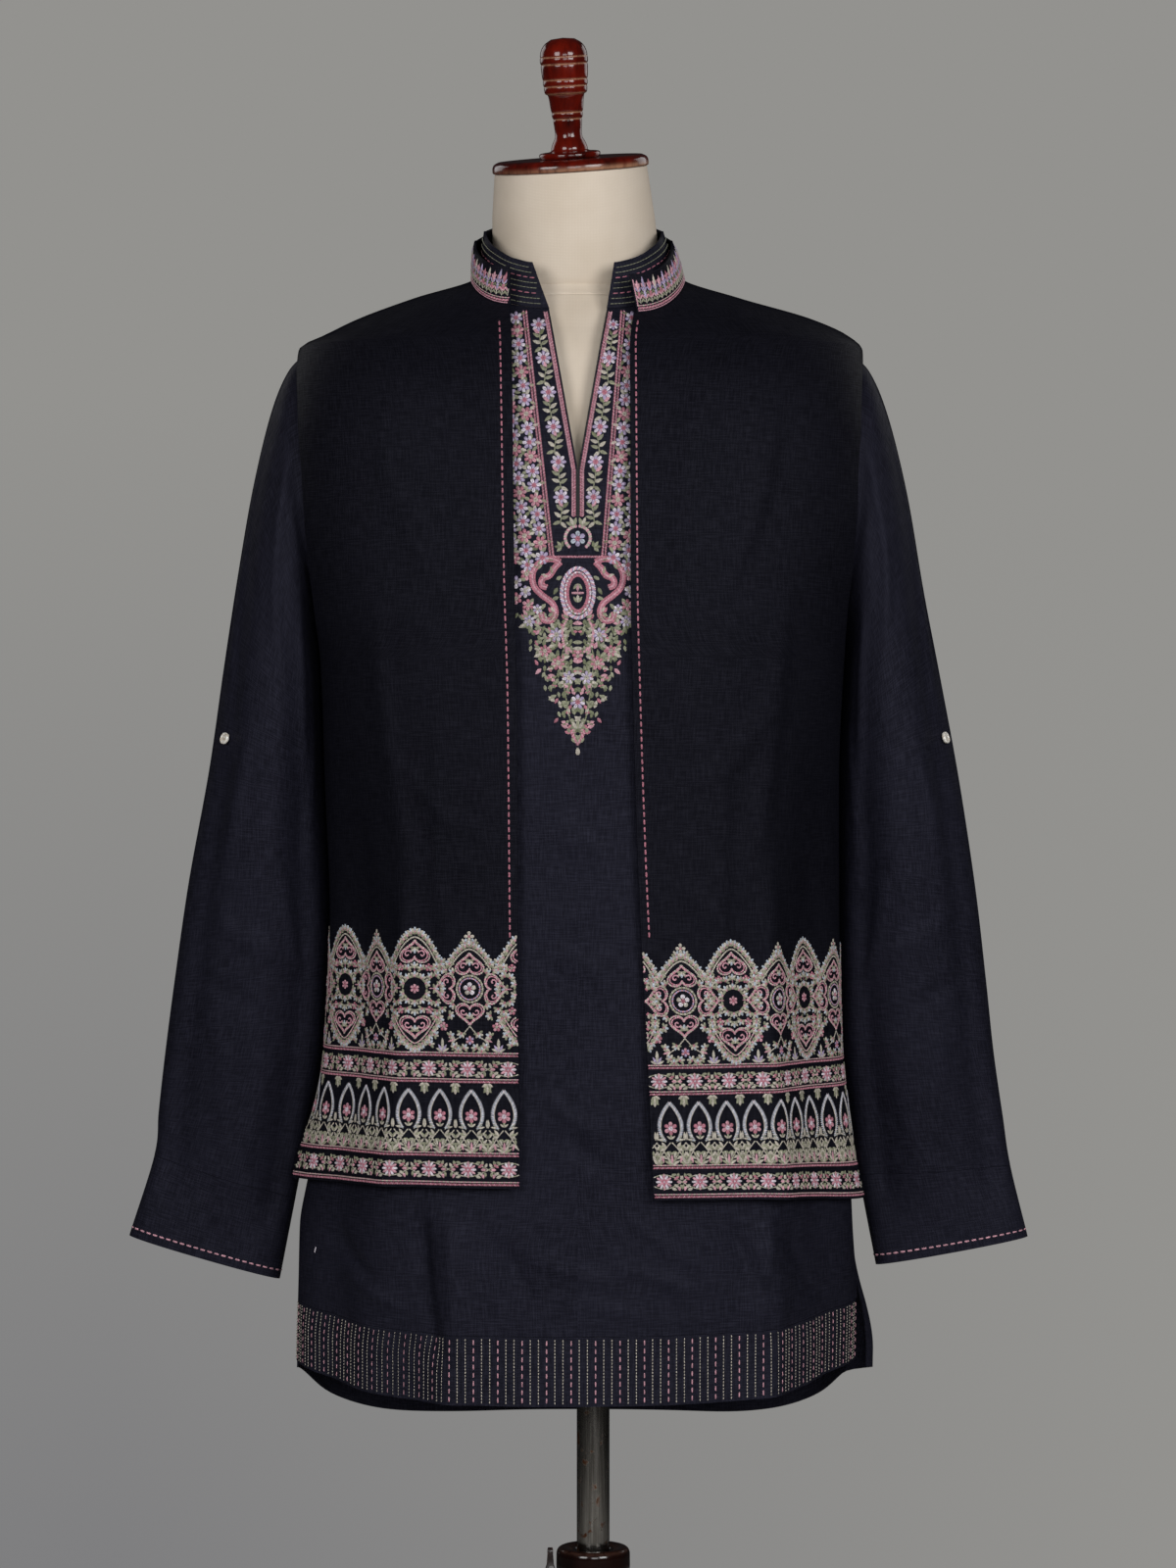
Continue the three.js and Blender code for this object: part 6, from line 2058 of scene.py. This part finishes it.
    def collar_band(self) -> bpy.types.Object:
        """The collar's band of upright sprays over a rope."""
        grid = self.collar.grid()
        cloth = ClothMap.over(grid, np.linspace(0, 32, len(grid)), 0)
        needle = Needle(cloth, seed=17)
        home = Place(0, 0)
        ends = np.array([[1.2, 0], [cloth.reach, 0]])
        needle.line(home, ends + (0, 1.4), (Dye.PINK,), pitch=1.7, width=1.0)
        needle.rope(home, ends + (0, 3.4), (Dye.ROSE, Dye.PINK), width=2.0)
        needle.line(home, ends + (0, 5.6), (Dye.CREAM, Dye.PINK), pitch=1.9, width=1.0)
        needle.line(home, np.array([[1.6, 5], [1.6, 27]]), (Dye.PINK,), pitch=1.7, width=1.1)
        for k in range(int(cloth.reach / 4.7)):
            stem = Place(4.2 + 4.7 * k, 7.4)
            lead = (Dye.PINK, Dye.LILAC, Dye.ROSE, Dye.CREAM)[k % 4]
            long = 12.0 if k % 2 else 9.5
            needle.line(stem, np.array([[0, 0], [0, 11]]), (Dye.CREAM,), width=0.9)
            needle.stitch(stem, Stitch.LEAF, 0, 10, 90, long, 2.3, lead, 0.9)
            needle.stitch(stem, Stitch.PETAL, 0, 4.2, 90, 5.6, 2.5, (Dye.ROSE, Dye.LILAC)[k % 2], 0.8)
            for side in stem.sides():
                for y, turn, dye in ((0.6, 55, Dye.SAGE), (3.4, 66, Dye.PINK), (6.4, 62, Dye.MOSS),
                                     (9.4, 72, Dye.LILAC), (12.6, 76, Dye.PINK)):
                    needle.stitch(side, Stitch.LEAF, 0.6, y, turn, 4.4, 1.4, dye, 0.6)
        return needle.build("waistcoat_collar_embroidery")

    def build(self) -> None:
        """Make all the pieces and hide the model's parts that they take the place of."""
        back = self.back()
        for hand in Hand:
            front = self.front(hand)
            self.front_border(hand)
            self.edge_stitching(hand)
        self.back_border()
        collar = self.collar.build("waistcoat_collar_cloth", WAISTCOAT_LINEN)
        dress(collar, Body.FORM, "waistcoat_linen", "waistcoat_collar")
        self.collar_band()


# ---- the dress form and the stand ----------------------------------------------------------------

NECK_CAP_PLACE = Vector((-17.4, -3.0, 1577.0))
NECK_TILT = Euler((math.radians(11), math.radians(-3.6), 0))  # forwards and sideways


def neck_plane() -> Matrix:
    """The slanted plane that the neck cap sits on, in metres."""
    return Matrix.Translation(NECK_CAP_PLACE * MM) @ NECK_TILT.to_matrix().to_4x4()


@dataclass(frozen=True)
class DressForm:
    """The canvas-covered torso, its turned cap and knob."""

    sides: int = 160
    cap_radius: float = 60.5
    cap_thickness: float = 8.8
    socket_radius: float = 13.2
    socket_top: float = 935.0
    neck_seam: float = 1474.0
    sections: Rows = Rows("z x y half front back round", [
        (785, -11.6, 0, 158, 86, 90, 2.2), (792, -11.6, 0, 164, 92, 96, 2.2),
        (900, -11.6, 0, 170, 96, 98, 2.2), (1000, -11.6, 0, 160, 94, 94, 2.2),
        (1090, -11.6, 0, 152, 96, 92, 2.2), (1190, -11.6, 0, 164, 106, 99, 2.3),
        (1280, -11.6, 0, 178, 111, 104, 2.4), (1350, -11.6, 0, 186, 106, 104, 2.4),
        (1400, -11.6, 0, 190, 95, 100, 2.3), (1430, -11.6, 0, 191, 85, 95, 2.15),
        (1442, -11.6, 0, 186, 78, 92, 2.0), (1446, -11.6, 0, 178.3, 75, 90, 1.95),
        (1460, -11.6, 0, 144, 66, 84, 1.85), (1474, -11.6, 0, 102.5, 56.5, 76.5, 1.8),
        (1482.5, -11.6, 0, 79.5, 51.5, 70.5, 1.85), (1485, -11.7, 0, 73.5, 53.2, 68.5, 1.9),
        (1488, -11.8, 0, 69.8, 54, 66.5, 1.95), (1497, -12.4, 0, 66.5, 56, 64, 2.0),
        (1515, -13.6, 0, 64.5, 58, 61.5, 2.0), (1540, -15.2, -1, 63, 59, 60, 2.0)])
    knob: tuple[tuple[float, float], ...] = (
        (0, 0), (22.6, 0), (23.7, 1.4), (23.7, 3.4), (22.4, 4.6), (14, 5.2), (14.2, 7.6),
        (12.6, 12), (10.05, 16.6), (10.9, 26), (11.2, 29), (10.7, 29.8), (11.8, 31), (12.1, 34),
        (11.6, 34.8), (12.5, 36), (13.7, 48.4), (15.6, 49), (16.5, 50.2), (16.8, 54), (16.4, 54.8),
        (17.2, 55.8), (17.3, 59), (16.8, 59.8), (17.6, 60.8), (18.3, 70.6), (17.7, 71.6),
        (18.5, 72.6), (18.6, 76), (18.1, 77), (18.4, 78.4), (17.2, 83.4), (14.2, 87.6), (9, 90.6),
        (0, 91.5))
    worn_lines: tuple[float, ...] = (29.8, 34.8, 49.2, 54.8, 59.8, 71.6, 77.0)

    def torso(self) -> bpy.types.Object:
        """The torso and neck under stretched canvas, with the pole's socket in its underside."""
        angle = np.linspace(0, 2 * math.pi, self.sides, endpoint=False)
        side, fore = np.sin(angle), np.cos(angle)
        levels = np.concatenate([
            np.linspace(785, 792, 4), np.arange(798, 1430, 7.0), np.arange(1430, 1540, 2.5), [1540]])
        levels = np.sort(np.append(levels, self.neck_seam + np.array([-1.1, -0.5, 0, 0.5, 1.1])))
        rings = []
        for z in levels:
            x, y, half, front, back, round_ = (
                float(self.sections.at(n, z)) for n in ("x", "y", "half", "front", "back", "round"))
            groove = 0.7 * math.exp(-(((z - self.neck_seam) / 0.6) ** 2))
            depth = np.where(fore > 0, front, back) - groove
            rings.append(np.stack([
                x + (half - groove) * power(side, 2 / round_), y - depth * power(fore, 2 / round_),
                np.full(self.sides, z)], -1))
        place = neck_plane()
        for radius, drop in ((self.cap_radius - 1.2, -1.6), (self.cap_radius - 1.6, -SEAM_GAP)):
            flat = np.stack([radius * side, -radius * fore, np.full(self.sides, drop)], -1)
            rings.append(np.array([(place @ (Vector(p) * MM)) / MM for p in flat]))
        lower, upper = rings[-3], rings[-2]
        between = [lower + (upper - lower) * share for share in np.linspace(0, 1, 9)[1:-1]]
        rings[-2:-2] = between
        hole = [np.stack([self.socket_radius * side, -self.socket_radius * fore,
                          np.full(self.sides, z)], -1) for z in (self.socket_top, 785.0)]
        rings = [*hole, *rings]
        points = np.concatenate(rings)
        faces = []
        for r in range(len(rings) - 1):
            for i in range(self.sides):
                a, b = r * self.sides + i, r * self.sides + (i + 1) % self.sides
                faces.append((a, b, b + self.sides, a + self.sides))
        faces.append(tuple(range(self.sides))[::-1])
        faces.append(tuple(range(len(points) - self.sides, len(points))))
        piece = mesh_piece("form_torso_cloth", points, faces)
        select_only(piece)
        bpy.ops.object.shade_smooth_by_angle(angle=math.radians(40))
        piece.data.materials.append(FORM_CANVAS.material())
        return dress(piece, Body.FORM, "form_canvas", "form_torso")

    def cap(self) -> bpy.types.Object:
        """The turned disc that closes the neck, its lower edge worn to the wood."""
        r, t = self.cap_radius, self.cap_thickness
        rim = eased([(r - 2.5, 0), (r, 0.3), (r + 0.2, 2.5), (r, 5.0), (r - 1.2, t - 1.5), (r - 4.5, t)])
        piece = turned_piece("form_cap_disc", [(0, 0), *rim, (r - 12, t), (0, t)], 128)
        paint_wear(piece, lambda x, y, z: rim_wear(x, y, z / MM, r))
        settle(piece, neck_plane())
        piece.data.materials.append(LACQUER.material())
        return dress(piece, Body.FORM, "lacquered_wood", "form_neck_cap")

    def finial(self) -> bpy.types.Object:
        """The turned knob on the cap, with pale lines where the lacquer has worn off its beads."""
        outline = [self.knob[0], *eased(self.knob[1:-1]), self.knob[-1]]
        piece = turned_piece("form_finial_knob", outline, 72)
        lines = np.array(self.worn_lines)
        paint_wear(piece, lambda x, y, z: float(
            np.exp(-(((z / MM - lines) / 0.55) ** 2)).sum()))
        lift = Matrix.Translation((0, 0, (self.cap_thickness + SEAM_GAP) * MM))
        settle(piece, neck_plane() @ lift)
        piece.data.materials.append(LACQUER.material())
        return dress(piece, Body.FORM, "lacquered_wood", "form_finial")

    def build(self) -> None:
        """Make the form's pieces."""
        self.torso()
        self.cap()
        self.finial()


def rim_wear(x: float, y: float, z: float, radius: float) -> float:
    """How far the cap's lacquer is worn at a place: low on the rim, more to the viewer's right."""
    rim = math.hypot(x, y) / MM > radius - 3
    side = 0.35 + 0.65 * smooth(np.array((math.atan2(x, -y) + 0.9) / 1.6))
    return float(rim * side * math.exp(-(((z - 1.6) / 2.0) ** 2)))


def paint_wear(piece: bpy.types.Object, amount: Callable[[float, float, float], float]) -> None:
    """Write how worn each point is, from 0 to 1, for the lacquer's material."""
    layer = piece.data.attributes.new("wear", "FLOAT", "POINT")
    values = [min(max(amount(*v.co), 0.0), 1.0) for v in piece.data.vertices]
    layer.data.foreach_set("value", values)


@dataclass(frozen=True)
class Stand:
    """The steel pole, the wooden column that it slides in, its clamp lever and the iron base."""

    pole_radius: float = 12.7
    pole_bottom: float = 300.0
    pole_top: float = 930.0
    column_radius: float = 28.5
    column_top: float = 510.0
    column_bore: float = 13.2
    bore_floor: float = 60.0
    foot_radius: float = 62.0
    base_radius: float = 190.0
    base_height: float = 22.0
    lever_height: float = 484.0
    lever_hub: float = 6.5
    lever_length: float = 9.0
    lever_reach: float = 25.0
    lever_wing: float = 4.2

    def pole(self) -> bpy.types.Object:
        """The pole."""
        r, low, top = self.pole_radius, self.pole_bottom, self.pole_top
        profile = [(0, low), (r - 1.2, low), (r - 0.3, low + 0.4), (r, low + 1.2), (r, top - 1.2),
                   (r - 0.3, top - 0.4), (r - 1.2, top), (0, top)]
        piece = turned_piece("stand_pole_tube", profile, 64)
        piece.data.materials.append(STEEL.material())
        return dress(piece, Body.POLE, "pole_steel", "stand_pole")

    def column(self) -> bpy.types.Object:
        """The turned column, with a dished top around its bore, in a darker copy of the lacquer that paints
        on the shade under the skirt.
        """
        r, top, bore = self.column_radius, self.column_top, self.column_bore
        floor, foot = self.base_height + SEAM_GAP, self.foot_radius
        outside = eased([
            (foot - 1, floor), (foot, floor + 3), (foot, floor + 9), (foot - 5, floor + 14),
            (r + 14, floor + 16), (r + 5, floor + 22), (r, floor + 34), (r, floor + 60)])
        beads = eased([
            (r, top - 30), (r, top - 22), (r - 1.4, top - 20.5), (r + 0.1, top - 18.5), (r, top - 8),
            (r, top - 4), (r - 1.5, top - 1.2), (r - 4.5, top), (bore + 6, top - 0.8),
            (bore + 2, top - 2.6), (bore, top - 5)])
        profile = [(0, floor), *outside, *beads, (bore, self.bore_floor), (0, self.bore_floor)]
        piece = turned_piece("stand_column_post", profile, 96)
        paint_wear(piece, lambda x, y, z: 0.5 * math.exp(-(((z / MM - top + 1.6) / 1.2) ** 2)))
        # The darker lacquer copy is painted shade.
        piece.data.materials.append(SHADED_LACQUER.material())
        return dress(piece, Body.STAND, "lacquered_wood", "stand_column")

    def base(self) -> bpy.types.Object:
        """The round base, with a stepped rim."""
        r, h = self.base_radius, self.base_height
        edge = eased([(r - 3, 0), (r, 0.6), (r, h - 8), (r - 1.6, h - 4), (r - 6, h - 1), (r - 14, h)])
        profile = [(0, 0), *edge, (r - 60, h), (self.foot_radius + 14, h), (0, h)]
        piece = turned_piece("stand_base_disc", profile, 160)
        piece.data.materials.append(ENAMEL.material())
        return dress(piece, Body.STAND, "enamelled_iron", "stand_base")

    def lever(self) -> bpy.types.Object:
        """The clamp's wing lever: a hub on its screw and a wing that stands up beside the column."""
        deselect()
        length = self.lever_length * MM
        x = -(self.column_radius + SEAM_GAP) * MM - length / 2
        centre = Vector((x, 0, self.lever_height * MM))
        bpy.ops.mesh.primitive_cylinder_add(
            vertices=48, radius=self.lever_hub * MM, depth=length, location=centre,
            rotation=(0, QUARTER, 0))
        piece = bpy.context.object
        piece.name = piece.data.name = "stand_lever_wing"
        bpy.ops.object.transform_apply(location=True, rotation=True, scale=True)
        top = [f.index for f in piece.data.polygons if f.normal.z > 0.8 and abs(f.normal.x) < 0.1]
        bpy.ops.object.mode_set(mode="EDIT")
        bpy.ops.mesh.select_mode(type="FACE")
        bpy.ops.mesh.select_all(action="DESELECT")
        bpy.ops.object.mode_set(mode="OBJECT")
        for index in top:
            piece.data.polygons[index].select = True
        bpy.ops.object.mode_set(mode="EDIT")
        rise = (self.lever_reach - self.lever_hub) * MM
        narrow = self.lever_wing / self.lever_hub / 0.8
        for share, wide, thin in ((0.3, 0.8, 0.62), (0.4, 1.0, 0.8), (0.2, 1.06, 1.0), (0.1, 0.8, 0.8)):
            bpy.ops.mesh.extrude_region_move(TRANSFORM_OT_translate={"value": (0, 0, rise * share)})
            bpy.ops.transform.resize(value=(thin, wide * narrow if share == 0.3 else wide, 0.5 + 0.5 * wide))
        bpy.ops.object.mode_set(mode="OBJECT")
        edge = piece.modifiers.new("edge", "BEVEL")
        edge.width = 0.7 * MM
        edge.segments = 3
        edge.limit_method = "ANGLE"
        apply_modifiers(piece)
        bpy.ops.object.shade_smooth_by_angle(angle=math.radians(40))
        piece.data.materials.append(ENAMEL.material())
        return dress(piece, Body.LEVER, "enamelled_iron", "stand_lever")

    def build(self) -> None:
        """Make the stand's pieces."""
        self.pole()
        self.column()
        self.base()
        self.lever()


@dataclass(frozen=True)
class Button:
    """A shirt button on a sleeve, standing where its CAD node does."""

    hand: Hand
    radius: float = 4.6
    thickness: float = 3.2

    def build(self) -> None:
        """Turn the button with a sunk dish, and lay it on its sleeve."""
        node = f"button_{self.hand.name.lower()}"
        r, t = self.radius, self.thickness
        outline = eased([(0.7 * r, 0), (0.95 * r, 0.1 * t), (r, 0.4 * t), (r, 0.62 * t),
                         (0.92 * r, 0.84 * t), (0.76 * r, 0.84 * t), (0.66 * r, 0.66 * t)])
        piece = turned_piece(node + "_shell", [(0, 0), *outline, (0.3 * r, 0.64 * t), (0, 0.64 * t)], 48)
        corners = np.array([v.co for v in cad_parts[node].data.vertices], float)
        middle = corners.mean(0)
        spread = np.linalg.svd(corners - middle)[2]
        axis = Vector(spread[-1])
        if axis.x * self.hand.value < 0:
            axis = -axis
        turn = Vector((0, 0, 1)).rotation_difference(axis).to_matrix().to_4x4()
        seat = Vector(corners[np.argmin(corners @ np.array(axis))])
        seat = Vector(middle) + axis * (seat - Vector(middle)).dot(axis)
        settle(piece, Matrix.Translation(seat) @ turn)
        piece.data.materials.append(PEARL.material())
        dress(piece, Body.FORM, "pearl_button", node)


# ---- the studio -----------------------------------------------------------------------------------


@dataclass(frozen=True)
class Studio:
    """A plain pale floor, soft light from the front and the camera."""

    floor_radius: float = 2.3
    camera_place: tuple[float, float, float] = (-0.004, -3.0, 1.101)
    lens: float = 88.8
    # The wall as the camera sees it; the darker colour is painted shade, laid low on the left.
    wall_light: str = "#93928f"
    wall_painted_shade: str = "#7b7b7d"
    glow: str = "#474645"  # what the room sheds on the part
    mirrored: str = "#1f1f20"  # what the room is in polished things: dark, but for its lamps

    def floor(self) -> None:
        """Lay the floor."""
        deselect()
        bpy.ops.mesh.primitive_circle_add(vertices=128, radius=self.floor_radius, fill_type="NGON")
        floor = bpy.context.object
        floor.name = "studio_floor"
        floor.data.materials.append(PAPER.material())

    def air(self) -> None:
        """A grey wall far behind, darker low on the left with painted shade, that sheds only a little light.
        """
        world = bpy.data.worlds.new("studio_air")
        world.use_nodes = True
        tree = world.node_tree
        way = add_node(tree, "TexCoord").outputs["Generated"]
        apart = add_node(tree, "SeparateXYZ", None, {"Vector": way}).outputs
        low = add_node(tree, "MapRange", None, (apart["Z"], 0.1, -0.24)).outputs[0]
        left = add_node(tree, "MapRange", None, (apart["X"], 0.16, -0.12)).outputs[0]
        # Painted shade on the wall: darker low on the left.
        shade = add_node(tree, "Math", {"operation": "MULTIPLY"}, (low, left)).outputs[0]
        wall = add_node(tree, "Mix", COLOURS, {
            FACTOR: shade, LOW: linear(self.wall_light), HIGH: linear(self.wall_painted_shade)}).outputs[MIXED]
        ray = add_node(tree, "LightPath").outputs
        shed = add_node(tree, "Mix", COLOURS, {
            FACTOR: ray["Is Glossy Ray"], LOW: linear(self.glow),
            HIGH: linear(self.mirrored)}).outputs[MIXED]
        lit = add_node(tree, "Mix", COLOURS, {FACTOR: ray["Is Camera Ray"], LOW: shed, HIGH: wall})
        feed(tree, tree.nodes["Background"], {"Color": lit.outputs[MIXED]})
        bpy.context.scene.world = world

    def light(self, name: str, place: tuple[float, float, float], size: float, watts: float) -> None:
        """Hang a soft light that faces the garments' middle."""
        lamp = bpy.data.lights.new(name, "AREA")
        lamp.shape = "SQUARE"
        lamp.size = size
        lamp.energy = watts
        holder = bpy.data.objects.new(name, lamp)
        bpy.context.scene.collection.objects.link(holder)
        holder.location = place
        aim = Vector((0, 0, 1.15)) - Vector(place)
        holder.rotation_euler = aim.to_track_quat("-Z", "Y").to_euler()

    def camera(self) -> None:
        """Set the camera level with the waist."""
        eye = bpy.data.cameras.new("camera")
        eye.lens = self.lens
        eye.sensor_width = 36.0
        holder = bpy.data.objects.new("camera", eye)
        bpy.context.scene.collection.objects.link(holder)
        holder.location = self.camera_place
        holder.rotation_euler = (QUARTER, 0, 0)
        bpy.context.scene.camera = holder

    def build(self) -> None:
        """Set up floor, air, lights and camera."""
        self.camera()
        self.floor()
        self.air()
        bpy.context.scene.view_settings.view_transform = "Standard"
        self.light("key_left", (-1.7, -2.7, 1.9), 1.3, 38)
        self.light("key_right", (1.7, -2.7, 1.9), 1.3, 49)
        self.light("fill", (0.3, -3.6, 1.6), 1.2, 21)
        self.light("back_left", (-1.5, 1.4, 2.3), 1.2, 5)
        self.light("back_right", (1.5, 1.4, 2.3), 1.2, 5)


def main() -> None:
    """Build the object in order and set the studio round it."""
    logging.basicConfig(level=logging.INFO, format="%(name)s %(message)s")
    Studio().build()
    DressForm().build()
    Stand().build()
    Kurta().build()
    Waistcoat().build()
    for hand in Hand:
        Button(hand).build()


if __name__ == "__main__":
    main()
